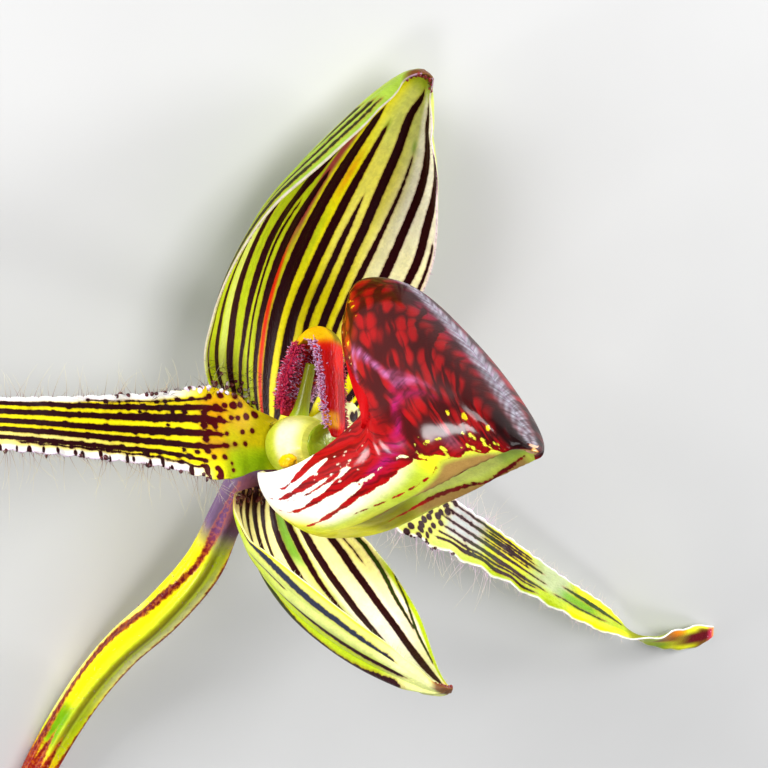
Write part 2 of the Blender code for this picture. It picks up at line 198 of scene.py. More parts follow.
@dataclass
class Sheet:
    """A curved sheet with its places.

    Attributes:
        points: its grid of points, rows along it and columns across it.
        shares: a column of shares from the base.
        across: a row of places across it.
        reach: a column of half widths along the skin, in mm.
    """

    points: Array
    shares: Array
    across: Array
    reach: Array

    @property
    def shape(self) -> tuple[int, int]:
        """How many rows and columns of points it has."""
        return self.points.shape[:2]

    @property
    def length(self) -> float:
        """Its length along the middle, in mm."""
        middle = self.points[:, self.shape[1] // 2]
        return float(np.linalg.norm(np.diff(middle, axis=0), axis=1).sum())

    def folded(self) -> "Sheet":
        """The same sheet with the places of both halves counted alike from the middle."""
        return Sheet(self.points, self.shares, np.abs(self.across), self.reach)

    def normals(self, closed: Array | None = None) -> Array:
        """Unit directions out of the face that the rows and columns turn to the viewer.

        Args:
            closed: which rows close into a ring, first column on last.

        Returns:
            One direction for each point.
        """
        beside = np.gradient(self.points, axis=1)
        if closed is not None:
            turn = (self.points[:, 1] - self.points[:, -2]) / 2
            beside[closed, 0] = turn[closed]
            beside[closed, -1] = turn[closed]
        return unit(np.cross(beside, np.gradient(self.points, axis=0)))

    def lamina(self) -> Array:
        """Each point's place on the skin in mm: across it, along it."""
        along = self.shares * self.length
        return np.stack(np.broadcast_arrays(self.across * self.reach, along, 0.0), axis=-1)

    def thinned(self, middle: float, margin: float, ends: float, start: float) -> Array:
        """How thick a blade is that thins to its margins and ends.

        Args:
            middle: the thickness inside, in mm.
            margin: the thickness at the very edge, in mm.
            ends: the stretch that thins at each end is the length divided by this.
            start: the place across at which it starts to thin.

        Returns:
            The thickness at every point, in mm.
        """
        last = np.maximum(1 - self.shares * ends, self.shares * ends - (ends - 1))
        edge = np.maximum(np.abs(self.across), last)
        return margin + (middle - margin) * (1 - rise(edge, start, 1.0))


def cupped(spine: Array, half_width: Array, cup: Array, twist: Array,
           across_axis: Triple, across: Array) -> Array:
    """A blade along a spine, each of its cross sections an arc of twice the cup angle.

    Args:
        spine: points along the middle.
        half_width: half the blade's width at each of them, along the skin.
        cup: half the arc's angle there, in radians.
        twist: how far the section turns round the spine there, in radians.
        across_axis: the direction in which places across the blade grow.
        across: the places across it.

    Returns:
        The grid of points.
    """
    along = unit(np.gradient(spine, axis=0))
    side = np.broadcast_to(np.asarray(across_axis, float), spine.shape)
    side = unit(side - along * np.sum(side * along, axis=1, keepdims=True))
    inward = np.cross(side, along)
    turned_side = side * np.cos(twist)[:, None] + inward * np.sin(twist)[:, None]
    turned_in = inward * np.cos(twist)[:, None] - side * np.sin(twist)[:, None]
    bend = np.where(np.abs(cup) < 0.001, 0.001, cup)[:, None]
    reach = half_width[:, None] * np.sin(bend * across) / bend
    lift = half_width[:, None] * (1 - np.cos(bend * across)) / bend
    points = spine[:, None, :] + reach[..., None] * turned_side[:, None, :]
    return points + lift[..., None] * turned_in[:, None, :]


def ring_path(stations: tuple, shares: Array, sides: int, ribs: Array | float = 1.0) -> Array:
    """Rings round a path in the flower's middle plane, each from the flower's left over the top.

    Args:
        stations: rows of share, forward, up and radius.
        shares: where the rings are.
        sides: how many points each ring has.
        ribs: how far out each point is, as a share of the radius.

    Returns:
        The rows of ring points.
    """
    forward, up, radius = smooth(stations, shares).T
    path = in_plane(forward, up)
    along = unit(np.gradient(path, axis=0))
    normal = in_plane(-along[:, 2], along[:, 0])
    turn = np.linspace(0, 2 * math.pi, sides, endpoint=False)[None, :, None]
    ring = np.cos(turn) * LEFT + np.sin(turn) * normal[:, None, :]
    return path[:, None, :] + (radius[:, None] * ribs)[..., None] * ring


# Paint: colours and markings worked out at every point of a sheet


@dataclass(frozen=True)
class Coat:
    """Colours laid over each other.

    Attributes:
        base: the first colour.
        washes: each one a hue, its span along the sheet, its span across it, and its strength.
    """

    base: Hue
    washes: tuple[tuple[Hue, Span, Span, float], ...] = ()

    def over(self, sheet: Sheet) -> Array:
        """Lay the colours over a sheet.

        Args:
            sheet: the sheet.

        Returns:
            The colour of each of its points.
        """
        ground = np.broadcast_to(self.base.linear, (*sheet.shape, 3)).copy()
        for hue, along, beside, strength in self.washes:
            cover = (strength * ramp(sheet.shares, along) * ramp(sheet.across, beside))[..., None]
            ground = ground * (1 - cover) + hue.linear * cover
        return ground


def painted(sheet: Sheet, ground: Coat, stain: Coat, pigment: Array | float) -> Values:
    """What a finish reads at every point of a sheet.

    Args:
        sheet: the sheet.
        ground: the colours between the markings.
        stain: the colours of the markings.
        pigment: how deep each point lies in a marking, in mm.

    Returns:
        The named values.
    """
    depth = np.broadcast_to(pigment, sheet.shape)
    colours = {"ground": ground.over(sheet), "stain": stain.over(sheet)}
    return colours | {"pigment": depth, "lamina": sheet.lamina()}


def stripe_depth(sheet: Sheet, stripes: tuple[Stripe, ...], taper: float = 0.2) -> Array:
    """How deep each point lies inside the nearest stripe.

    Args:
        sheet: where the stripes run.
        stripes: each one rows of share, place across and half width in mm.
        taper: how fast a stripe narrows past its ends, in mm for each mm.

    Returns:
        The depth in mm, below zero outside the stripes.
    """
    shares, length = sheet.shares[:, 0], sheet.length
    depth = np.full(sheet.shape, FAR_OUT)
    for stripe in stripes:
        centre, half = smooth(stripe, shares).T
        past = np.maximum(stripe[0][0] - shares, shares - stripe[-1][0]).clip(0) * length
        half = half - past * taper
        depth = np.maximum(depth, half[:, None] - np.abs(sheet.across - centre[:, None]) * sheet.reach)
    return depth


def spot_depth(sheet: Sheet, spots: Array | tuple, stretch: float = 1.0) -> Array:
    """How deep each point lies inside the nearest round spot.

    Args:
        sheet: where the spots are.
        spots: each one a share, a place across and a radius in mm.
        stretch: how much longer a spot is along the sheet than across it.

    Returns:
        The depth in mm, below zero outside the spots.
    """
    place = sheet.lamina()
    depth = np.full(sheet.shape, FAR_OUT)
    for share, across, radius in spots:
        row = min(int(round(share * (sheet.shape[0] - 1))), sheet.shape[0] - 1)
        beside = place[..., 0] - across * sheet.reach[row, 0]
        along = (place[..., 1] - share * sheet.length) / stretch
        depth = np.maximum(depth, radius - np.hypot(beside, along))
    return depth


# Beads along a line: how far the first one lies before its start, how far they stray across it, how far they
# swell out of it in mm, how much they shrink to the last one, and how far apart they are in mm
BEAD_LEAD = 0.004
BEAD_STRAY = 0.015
BEAD_SWELL = (0.08, 0.32)
BEAD_SHRINK = 0.25
BEAD_STEP = (1.8, 3.6)


def beads(chance: np.random.Generator, sheet: Sheet, stripes: tuple[Stripe, ...], last: float) -> Array:
    """Uneven swellings along stripes.

    Args:
        chance: where the unevenness comes from.
        sheet: where the stripes run.
        stripes: the stripes.
        last: the share at which the swellings end.

    Returns:
        Rows of share, place across and radius in mm.
    """
    rows = []
    for stripe in stripes:
        share = stripe[0][0] - BEAD_LEAD
        while share < min(last, stripe[-1][0]):
            centre, half = smooth(stripe, np.array([share]))[0]
            centre += chance.normal(0, BEAD_STRAY)
            half += chance.uniform(*BEAD_SWELL)
            rows.append((share, centre, half * (1 - BEAD_SHRINK * share / last)))
            share += chance.uniform(*BEAD_STEP) / sheet.length
    return np.array(rows)


# Meshes


@dataclass(frozen=True)
class Placement:
    """How the upright flower is laid down: its turns about x, y and z in degrees, and its place in mm."""

    turn: Triple = (23.447, -131.680, -107.949)
    place: Triple = (-3.044, 8.668, 17.834)

    def matrix(self) -> Matrix:
        """From the flower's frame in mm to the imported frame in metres."""
        turn = Euler([math.radians(angle) for angle in self.turn]).to_matrix().to_4x4()
        return Matrix.Translation(Vector(self.place) * MM) @ turn @ Matrix.Scale(MM, 4)

    def world(self, points: Array) -> Array:
        """Lay points down, and none of them under the floor.

        Args:
            points: points of the flower's frame, in mm.

        Returns:
            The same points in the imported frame, in metres.
        """
        matrix = np.array(self.matrix())
        laid = points @ matrix[:3, :3].T + matrix[:3, 3]
        laid[..., 2] = laid[..., 2].clip(0)
        return laid


def placed(name: str, data: bpy.types.ID) -> bpy.types.Object:
    """Put a new object into the scene.

    Args:
        name: its name.
        data: its mesh, lamp or camera.

    Returns:
        The object.
    """
    thing = bpy.data.objects.new(name, data)
    bpy.context.scene.collection.objects.link(thing)
    return thing


def cells(index: Array) -> Array:
    """The four corners of each cell in a grid of numbers or places."""
    stack = [index[:-1, :-1], index[:-1, 1:], index[1:, 1:], index[1:, :-1]]
    return np.stack(stack, axis=2).reshape(-1, 4, *index.shape[2:])


def map_grid(rows: int, columns: int, low: float, high: float) -> Array:
    """Places on the flat map for a grid of points, in the band between low and high."""
    along, beside = np.linspace(0.002, 0.998, rows), np.linspace(low, high, columns)
    return np.stack(np.meshgrid(along, beside, indexing="ij"), axis=-1)


def round_map(sides: int, left: float, low: float, radius: float) -> Array:
    """Places on the flat map for a fan of triangles.

    Args:
        sides: how many triangles the fan has.
        left: where its centre lies, along the map.
        low: where its centre lies, up the map.
        radius: how far its rim lies from there.

    Returns:
        The places of each triangle's corners.
    """
    angle = np.linspace(0, 2 * math.pi, sides + 1)
    ring = np.stack([left + radius * np.cos(angle), low + radius * np.sin(angle)], axis=-1)
    return np.stack([ring[:-1], ring[1:], np.broadcast_to([left, low], ring[:-1].shape)], axis=1)


def open_edges(faces: Array) -> Array:
    """Find the edges that only one face has.

    Args:
        faces: the faces' point numbers.

    Returns:
        The two point numbers of each such edge, in the face's order.
    """
    edges = np.stack([faces, np.roll(faces, -1, axis=1)], axis=-1).reshape(-1, 2)
    edges = edges[edges[:, 0] != edges[:, 1]]
    keys = np.sort(edges, axis=1) @ np.array([int(faces.max()) + 1, 1])
    _, where, counts = np.unique(keys, return_index=True, return_counts=True)
    return edges[where[counts == 1]]


# The flat map: where both skins of a shell start and how wide their bands are, where the strips of its rim
# start and how wide they are, and where the skin of a ringed body ends. Then where the fans lie that close a
# shell and a ringed body: along the map, up the map, and their radius
SKIN_LOWS = (0.002, 0.47)
SKIN_BAND = 0.464
RIM_LOWS = (0.975, 0.986)
RIM_BAND = 0.01
RINGS_HIGH = 0.93
TOE_FANS = ((0.01, 0.95, 0.009), (0.04, 0.95, 0.009))
CAP_FANS = ((0.1, 0.965, 0.03), (0.3, 0.965, 0.03))
# How far a shell's rim stands out between its skins, as a share of their distance
RIM_BULGE = 0.4


class Draft:
    """A mesh in the making, in the flower's frame in mm."""

    def __init__(self) -> None:
        """Start with nothing."""
        self.points: list[Array] = []
        self.values: dict[str, list[Array]] = {}
        self.faces: list[Array] = []
        self.maps: list[Array] = []
        self.slots: list[Array] = []
        self.count = 0

    def add_points(self, points: Array, values: Values) -> int:
        """Add points with their values.

        Args:
            points: any grid of points.
            values: named values of the same points.

        Returns:
            The number of the first of them.
        """
        first = self.count
        flat = points.reshape(-1, 3)
        self.points.append(flat)
        for name, value in values.items():
            self.values.setdefault(name, []).append(value.reshape(len(flat), -1))
        self.count += len(flat)
        return first

    def add_faces(self, faces: Array, places: Array, slot: int = 0) -> None:
        """Add faces of three or four corners.

        Args:
            faces: their corners' point numbers.
            places: their corners' places on the flat map.
            slot: the material slot.
        """
        self.faces.append(faces)
        self.maps.append(places.reshape(-1, 2))
        self.slots.append(np.full(len(faces), slot))

    def add_fan(self, skin: Array, values: Values, ring: Array, places: Array, turn: int,
                slot: int = 0) -> None:
        """Close a ring by a fan of triangles.

        Args:
            skin: the ring's points.
            values: named values of the same points.
            ring: the ring's point numbers, the first one repeated at the end.
            places: the corners' places on the flat map.
            turn: 1 or -1, the way the triangles turn.
            slot: the material slot.
        """
        middle = {name: value.mean(axis=0) for name, value in values.items()}
        centre = self.add_points(skin.mean(axis=0), middle)
        fan = np.stack([ring[:-1], ring[1:], np.full(len(ring) - 1, centre)], axis=1)
        self.add_faces(fan[:, ::turn], places[:, ::turn], slot)

    def add_shell(self, front: Array, back: Array, front_values: Values, back_values: Values,
                  closed: Array | None = None, inside_out: bool = False) -> None:
        """Add a thin shell with a rounded rim.

        Args:
            front: the skin on the side of the sheet's normals.
            back: the other skin, point for point.
            front_values: named values on the front.
            back_values: named values on the back.
            closed: which rows close into a ring; a fan then closes the last one.
            inside_out: whether the front is the skin that looks against the sheet's normals.
        """
        rows, columns = front.shape[:2]
        index = np.arange(rows * columns).reshape(rows, columns)
        if closed is not None:
            index[closed, -1] = index[closed, 0]
        faces = cells(index)
        firsts = self.add_points(front, front_values), self.add_points(back, back_values)
        turn = -1 if inside_out else 1
        sides = ((front, front_values, firsts[0], turn), (back, back_values, firsts[1], -turn))
        for slot, (_, _, first, way) in enumerate(sides):
            places = cells(map_grid(rows, columns, SKIN_LOWS[slot], SKIN_LOWS[slot] + SKIN_BAND))
            self.add_faces((faces + first)[:, ::way], places[:, ::way], slot)
        edges = open_edges(faces[:, ::turn])
        if closed is not None:
            last = set(index[-1].tolist())
            edges = edges[[not (a in last and b in last) for a, b in edges.tolist()]]
            for slot, (skin, values, first, way) in enumerate(sides):
                ends = {name: value[-1] for name, value in values.items()}
                flat = round_map(columns - 1, *TOE_FANS[slot])
                self.add_fan(skin[-1], ends, index[-1] + first, flat, way, slot)
        self._add_rim(faces, edges, front, back, front_values, firsts)

    def _add_rim(self, faces: Array, edges: Array, front: Array, back: Array,
                 values: Values, firsts: tuple[int, int]) -> None:
        """Join both skins along their open edges, over a line that stands out between them.

        Args:
            faces: the front's faces.
            edges: the open edges.
            front: the front's points.
            back: the back's points.
            values: named values on the front.
            firsts: the numbers of the first point of the front and of the back.
        """
        flat_front, flat_back = front.reshape(-1, 3), back.reshape(-1, 3)
        used = np.unique(edges)
        number = np.zeros(len(flat_front), int)
        number[used] = np.arange(len(used))
        centres = flat_front[faces].mean(axis=1)
        out = np.zeros_like(flat_front)
        for corner in range(faces.shape[1]):
            np.add.at(out, faces[:, corner], flat_front[faces[:, corner]] - centres)
        thickness = np.linalg.norm(flat_front[used] - flat_back[used], axis=1)
        middle = (flat_front[used] + flat_back[used]) / 2 + unit(out[used]) * thickness[:, None] * RIM_BULGE
        flat_values = {name: value.reshape(len(flat_front), -1)[used] for name, value in values.items()}
        start, stop = edges[:, 0], edges[:, 1]
        left, right = number[start] + self.count, number[stop] + self.count
        self.add_points(middle, flat_values)
        low_end = np.arange(len(edges)) / len(edges)
        high_end = low_end + 1 / len(edges)
        beside = np.stack([high_end, low_end, low_end, high_end], axis=1)
        upper = (stop + firsts[0], start + firsts[0], left, right)
        lower = (right, left, start + firsts[1], stop + firsts[1])
        for low, strip in zip(RIM_LOWS, (upper, lower)):
            upward = np.broadcast_to([low, low, low + RIM_BAND, low + RIM_BAND], beside.shape)
            self.add_faces(np.stack(strip, axis=1), np.stack([beside, upward], axis=-1))

    def add_rings(self, rings: Array, values: Values) -> None:
        """Add a capped body of rings.

        Args:
            rings: a row of points for each ring, the first one not repeated at the end.
            values: named values of the same points.
        """
        rows, sides = rings.shape[:2]
        index = np.arange(rows * sides).reshape(rows, sides)
        index = np.concatenate([index, index[:, :1]], axis=1)
        first = self.add_points(rings, values)
        self.add_faces(cells(index) + first, cells(map_grid(rows, sides + 1, SKIN_LOWS[0], RINGS_HIGH)))
        for row, turn, fan in ((0, -1, CAP_FANS[0]), (rows - 1, 1, CAP_FANS[1])):
            ends = {name: value[row] for name, value in values.items()}
            self.add_fan(rings[row], ends, index[row] + first, round_map(sides, *fan), turn)

    def make(self, name: str, finishes: tuple[Material, ...], placement: Placement) -> bpy.types.Object:
        """Turn the draft into an object that rides on the flower.

        Args:
            name: the object's name.
            finishes: the materials of its slots.
            placement: how the flower lies.

        Returns:
            The object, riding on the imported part.
        """
        points = np.concatenate(self.points)
        corners = np.concatenate([faces.ravel() for faces in self.faces])
        used, renumbered = np.unique(corners, return_inverse=True)
        faces, start = [], 0
        for group in self.faces:
            faces += renumbered[start:start + group.size].reshape(group.shape).tolist()
            start += group.size
        mesh = bpy.data.meshes.new(name)
        mesh.from_pydata(placement.world(points[used]).tolist(), [], faces)
        mesh.polygons.foreach_set("material_index", np.concatenate(self.slots).astype(np.int32))
        flat_map = np.concatenate(self.maps).astype(np.float32)
        mesh.uv_layers.new(name="OFBake").data.foreach_set("uv", flat_map.ravel())
        kinds = {"ground": ("FLOAT_COLOR", "color"), "stain": ("FLOAT_COLOR", "color"),
                 "lamina": ("FLOAT_VECTOR", "vector")}
        for value_name, parts in self.values.items():
            value = np.concatenate(parts)[used]
            kind, key = kinds.get(value_name, ("FLOAT", "value"))
            if kind == "FLOAT_COLOR":
                value = np.concatenate([value, np.ones((len(value), 1))], axis=1)
            layer = mesh.attributes.new(value_name, kind, "POINT")
            layer.data.foreach_set(key, value.astype(np.float32).ravel())
        for finish in finishes:
            mesh.materials.append(finish)
        mesh.shade_smooth()
        piece = placed(name, mesh)
        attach(piece, "root")
        return piece


class Profile(Enum):
    """How a strand's radius runs from its root to its tip."""

    HAIR = "hair"
    CLUB = "club"
    WART = "wart"

    def radius(self, share: Array) -> Array:
        """How thick a strand is along its length.

        Args:
            share: shares of the length.

        Returns:
            The share of the full radius at each of them.
        """
        if self is Profile.HAIR:
            return 1 - 0.8 * share
        if self is Profile.CLUB:
            return 0.75 - 0.35 * share + 0.75 * np.exp(-(((share - 0.86) / 0.12) ** 2))
        return np.sqrt(np.clip(1 - share**2, 0, 1)) * (1 + 0.25 * np.sin(3 * share))


# A direction that no strand follows, and the share of its place on the flat map that a strand fills
ASKEW = np.array([0.31, 0.62, 0.72])
STRAND_ON_MAP = 0.9


@dataclass(frozen=True)
class Tuft:
    """Hairs, glands or warts sown over part of a skin.

    Attributes:
        count: how many there are.
        shares: from and to where along the sheet.
        places: from and to where across it.
        length: the shortest and the longest, in mm.
        radius: the thinnest and the thickest, in mm.
        hues: their colours at the root and at the tip.
        lean: how far they lean from the skin's normal out over the nearer margin, from 0 to 1.
        face: 1 on the face, -1 on the back, 0 on both.
        stray: how far their directions stray.
        curl: how far their tips stray, for each mm of length.
        profile: how they taper.
        sides: how many sides each one has.
        steps: how many stretches each one has.
    """

    count: int
    shares: Pair
    places: Pair
    length: Pair
    radius: Pair
    hues: tuple[Hue, Hue]
    lean: float = 0.0
    face: int = 0
    stray: float = 0.3
    curl: float = 0.2
    profile: Profile = Profile.HAIR
    sides: int = 3
    steps: int = 4

    def sow(self, draft: Draft, sheet: Sheet, chance: np.random.Generator,
            offset: Array | float = 0.0) -> None:
        """Add the strands to a draft.

        Args:
            draft: where they go.
            sheet: the sheet that they grow from.
            chance: where their unevenness comes from.
            offset: how far the skin lies from the sheet at each point, in mm.
        """
        rows = (chance.uniform(*self.shares, self.count) * (sheet.shape[0] - 1)).astype(int)
        places = chance.uniform(*self.places, self.count)
        low, high = sheet.across.min(), sheet.across.max()
        columns = ((places - low) / (high - low) * (sheet.shape[1] - 1)).round().astype(int)
        face = np.full(self.count, self.face) if self.face else chance.choice([-1, 1], self.count)
        side = unit(np.gradient(sheet.points, axis=1))[rows, columns] * np.where(places < 0, -1, 1)[:, None]
        normal = sheet.normals()[rows, columns] * face[:, None]
        stray = chance.normal(0, self.stray, (self.count, 3))
        aims = unit(normal * (1 - self.lean) + side * self.lean + stray)
        depth = np.broadcast_to(offset, sheet.shape)[rows, columns][:, None]
        self.build(draft, sheet.points[rows, columns] + normal * depth, aims, chance)

    def build(self, draft: Draft, roots: Array, aims: Array, chance: np.random.Generator) -> None:
        """Add strands at given places.

        Args:
            draft: where they go.
            roots: the points that they grow from.
            aims: their directions.
            chance: where their unevenness comes from.
        """
        count = len(roots)
        share = np.linspace(0, 1, self.steps + 1)
        if self.profile is Profile.WART:
            share = np.sin(share * math.pi / 2)
        lengths = chance.uniform(*self.length, count)[:, None, None]
        bends = chance.normal(0, self.curl, (count, 1, 3))
        far = share[:, None]
        path = roots[:, None] + aims[:, None] * lengths * far + bends * lengths * far**2
        ahead = unit(np.gradient(path, axis=1))
        side = unit(np.cross(ahead, ASKEW))
        upward = np.cross(side, ahead)
        turn = np.linspace(0, 2 * math.pi, self.sides, endpoint=False)
        ring = np.cos(turn)[:, None] * side[:, :, None] + np.sin(turn)[:, None] * upward[:, :, None]
        radius = chance.uniform(*self.radius, count)[:, None] * self.profile.radius(share)
        tube = path[:, :-1, None] + ring[:, :-1] * radius[:, :-1, None, None]
        hues = self.hues[0].linear * (1 - far) + self.hues[1].linear * far
        hues = np.broadcast_to(hues, (count, *hues.shape))
        first = draft.add_points(tube, {"ground": np.repeat(hues[:, :-1, None], self.sides, axis=2)})
        tips = draft.add_points(path[:, -1], {"ground": hues[:, -1]}) + np.arange(count)
        index = first + np.arange(count * self.steps * self.sides).reshape(count, self.steps, self.sides)
        index = np.concatenate([index, index[:, :, :1]], axis=2)
        side_of_map = math.ceil(math.sqrt(count))
        corner = np.stack(np.divmod(np.arange(count), side_of_map), axis=-1) / side_of_map
        upward_map = np.linspace(0, STRAND_ON_MAP / side_of_map, self.steps + 1)
        beside_map = np.linspace(0, STRAND_ON_MAP / side_of_map, self.sides + 1)
        places = np.stack(np.meshgrid(upward_map, beside_map, indexing="ij"), axis=-1) + corner[:, None, None]
        for step in range(self.steps - 1):
            draft.add_faces(self._ring_cells(index, step), self._ring_cells(places, step))
        tip = np.repeat(tips[:, None], self.sides, axis=1)
        fan = np.stack([index[:, -1, :-1], index[:, -1, 1:], tip], axis=-1).reshape(-1, 3)
        draft.add_faces(fan, np.stack([places[:, -2, :-1], places[:, -2, 1:], places[:, -1, 1:]], axis=2))

    @staticmethod
    def _ring_cells(grid: Array, step: int) -> Array:
        """The cells of all the strands between one ring and the next.

        Args:
            grid: numbers or places, by strand, ring and side.
            step: the first of the two rings.

        Returns:
            The four corners of each cell.
        """
        low, high = grid[:, step], grid[:, step + 1]
        corners = [low[:, :-1], low[:, 1:], high[:, 1:], high[:, :-1]]
        return np.stack(corners, axis=2).reshape(-1, 4, *grid.shape[3:])


def wart_tuft(*where: object, sides: int = 8, **settings: object) -> Tuft:
    """Warts, given as a tuft's values."""
    return Tuft(*where, profile=Profile.WART, sides=sides, **settings)


# Shader parts


def wire(tree: Tree, kind: str, inputs: dict | None = None, **settings) -> bpy.types.Node:
    """Add a node.

    Args:
        tree: where it goes.
        kind: the node's type.
        inputs: a socket or a plain value for each named or numbered input.
        settings: the node's own settings.

    Returns:
        The node.
    """
    node = tree.nodes.new(kind)
    for name, value in settings.items():
        setattr(node, name, value)
    for name, value in (inputs or {}).items():
        if isinstance(value, Socket):
            tree.links.new(value, node.inputs[name])
        else:
            node.inputs[name].default_value = value
    return node


def mixed(tree: Tree, share: object, first: object, second: object,
          blend: str = "MIX") -> Socket:
    """The colour between two colours."""
    inputs = {0: share, 6: first, 7: second}
    return wire(tree, "ShaderNodeMix", inputs, data_type="RGBA", blend_type=blend).outputs[2]


def maths(tree: Tree, operation: str, *values: object) -> Socket:
    """The result of one arithmetic step."""
    return wire(tree, "ShaderNodeMath", dict(enumerate(values)), operation=operation).outputs[0]


def ranged(tree: Tree, value: object, low: object, high: object, start: object = 0.0,
           stop: object = 1.0) -> Socket:
    """A value carried softly from one range to another, and held at its ends."""
    inputs = {"Value": value, "From Min": low, "From Max": high, "To Min": start, "To Max": stop}
    return wire(tree, "ShaderNodeMapRange", inputs, interpolation_type="SMOOTHSTEP").outputs["Result"]


def vector_maths(tree: Tree, operation: str, first: object, second: object) -> Socket:
    """The result of one arithmetic step on vectors."""
    return wire(tree, "ShaderNodeVectorMath", {0: first, 1: second}, operation=operation).outputs[0]


def stretched(tree: Tree, vector: object, scale: Triple) -> Socket:
    """A vector with each of its parts scaled."""
    return vector_maths(tree, "MULTIPLY", vector, scale)


def grey(tree: Tree, value: Socket) -> Socket:
    """A value as a grey colour."""
    return wire(tree, "ShaderNodeCombineColor", {0: value, 1: value, 2: value}).outputs[0]


def noise(tree: Tree, vector: object, scale: float, detail: float) -> Socket:
    """A soft random value that changes over the skin."""
    inputs = {"Vector": vector, "Scale": scale, "Detail": detail}
    return wire(tree, "ShaderNodeTexNoise", inputs).outputs["Fac"]


def colour(hue: Hue) -> tuple[float, float, float, float]:
    """A hue as a socket's colour."""
    return (*hue.linear.tolist(), 1.0)


def attribute(tree: Tree, name: str, output: str) -> Socket:
    """One of the values kept on the mesh."""
    return wire(tree, "ShaderNodeAttribute", attribute_name=name).outputs[output]


def grouped(tree: Tree, group: Tree, inputs: dict) -> object:
    """The outputs of a node group, used in a material."""
    return wire(tree, "ShaderNodeGroup", inputs, node_tree=group).outputs


def new_group(name: str, inputs: dict[str, float | None], outputs: tuple[str, ...]) -> tuple:
    """An empty node group.

    Args:
        name: its name.
        inputs: each input's name and first value, None for a vector.
        outputs: the names of its outputs, all plain values.

    Returns:
        The group, its input sockets and its output node.
    """
    group = bpy.data.node_groups.new(name, "ShaderNodeTree")
    for label, value in inputs.items():
        kind = "NodeSocketVector" if value is None else "NodeSocketFloat"
        socket = group.interface.new_socket(label, in_out="INPUT", socket_type=kind)
        if value is not None:
            socket.default_value = value
    for label in outputs:
        group.interface.new_socket(label, in_out="OUTPUT", socket_type="NodeSocketFloat")
    return group, group.nodes.new("NodeGroupInput").outputs, group.nodes.new("NodeGroupOutput")


def cell_grain() -> Tree:
    """Skin cells, longer than wide: their height and how light each one is.

    Returns:
        The node group.
    """
    group, given, result = new_group("cell grain", {"Lamina": None, "Cell": 0.3}, ("Height", "Shade"))
    scale = maths(group, "DIVIDE", 1.0, given["Cell"])
    long = stretched(group, given["Lamina"], (1.0, 0.5, 1.0))
    cell = wire(group, "ShaderNodeTexVoronoi", {"Vector": long, "Scale": scale, "Randomness": 0.9}).outputs
    square = maths(group, "MULTIPLY", cell["Distance"], cell["Distance"])
    group.links.new(maths(group, "SUBTRACT", 1.0, square), result.inputs["Height"])
    lot = wire(group, "ShaderNodeSeparateColor", {0: cell["Color"]}).outputs[0]
    slow = ranged(group, noise(group, given["Lamina"], 0.35, 3.0), 0.3, 0.7, 0.0, 0.55)
    group.links.new(maths(group, "MULTIPLY_ADD", lot, 0.45, slow), result.inputs["Shade"])
    return group


def pigment_edge() -> Tree:
    """A crisp but uneven edge where a marking's depth passes zero.

    Returns:
        The node group.
    """
    inputs = {"Depth": 0.0, "Lamina": None, "Wander": 0.1, "Blur": 0.05}
    group, given, result = new_group("pigment edge", inputs, ("Mask",))
    slow = maths(group, "SUBTRACT", noise(group, given["Lamina"], 0.9, 2.0), 0.5)
    fine = maths(group, "SUBTRACT", noise(group, given["Lamina"], 5.0, 2.0), 0.5)
    both = maths(group, "MULTIPLY_ADD", fine, 0.5, slow)
    moved = maths(group, "MULTIPLY_ADD", both, given["Wander"], given["Depth"])
    low = maths(group, "MULTIPLY", given["Blur"], -1.0)
    group.links.new(ranged(group, moved, low, given["Blur"]), result.inputs["Mask"])
    return group


def hood_cells() -> Tree:
    """Rows of glowing cells between dark veins, and fine fibres that run the other way.

    Returns:
        The node group.
    """
    group, given, result = new_group("hood cells", {"Lamina": None, "Wide": 1.7}, ("Glow", "Fibre"))
    lamina = given["Lamina"]
    inputs = {"Vector": lamina, "Scale": 0.25, "Detail": 2.0}
    drift = wire(group, "ShaderNodeTexNoise", inputs).outputs["Color"]
    centred = vector_maths(group, "SUBTRACT", drift, (0.5, 0.5, 0.5))
    moved = vector_maths(group, "ADD", lamina, stretched(group, centred, (2.0, 2.0, 0.0)))
    scale = maths(group, "DIVIDE", 1.0, given["Wide"])
    inputs = {"Vector": stretched(group, moved, (0.62, 1.0, 0.0)), "Scale": scale, "Randomness": 0.75}
    cell = wire(group, "ShaderNodeTexVoronoi", inputs).outputs["Distance"]
    glow = ranged(group, cell, 0.18, 0.78, 1.0, 0.0)
    veins = noise(group, stretched(group, moved, (0.1, 0.62, 0.0)), 1.0, 1.0)
    group.links.new(maths(group, "MULTIPLY", glow, ranged(group, veins, 0.33, 0.5)), result.inputs["Glow"])
    fibres = noise(group, stretched(group, moved, (1.6, 0.13, 0.0)), 1.0, 3.0)
    group.links.new(ranged(group, fibres, 0.3, 0.62), result.inputs["Fibre"])
    return group


@dataclass(frozen=True)
class Effects:
    """The node groups that the finishes share, each built once."""

    cell_grain: Tree = field(default_factory=cell_grain)
    pigment_edge: Tree = field(default_factory=pigment_edge)
    hood_cells: Tree = field(default_factory=hood_cells)


def new_material(name: str, settings: dict[str, object]) -> tuple:
    """A fresh material.

    Args:
        name: its name.
        settings: plain values for its shader's inputs.

    Returns:
        The material, its tree and its shader's inputs.
    """
    material = bpy.data.materials.new(name)
    material.use_nodes = True
    sockets = material.node_tree.nodes["Principled BSDF"].inputs
    for label, value in settings.items():
        sockets[label].default_value = value
    return material, material.node_tree, sockets


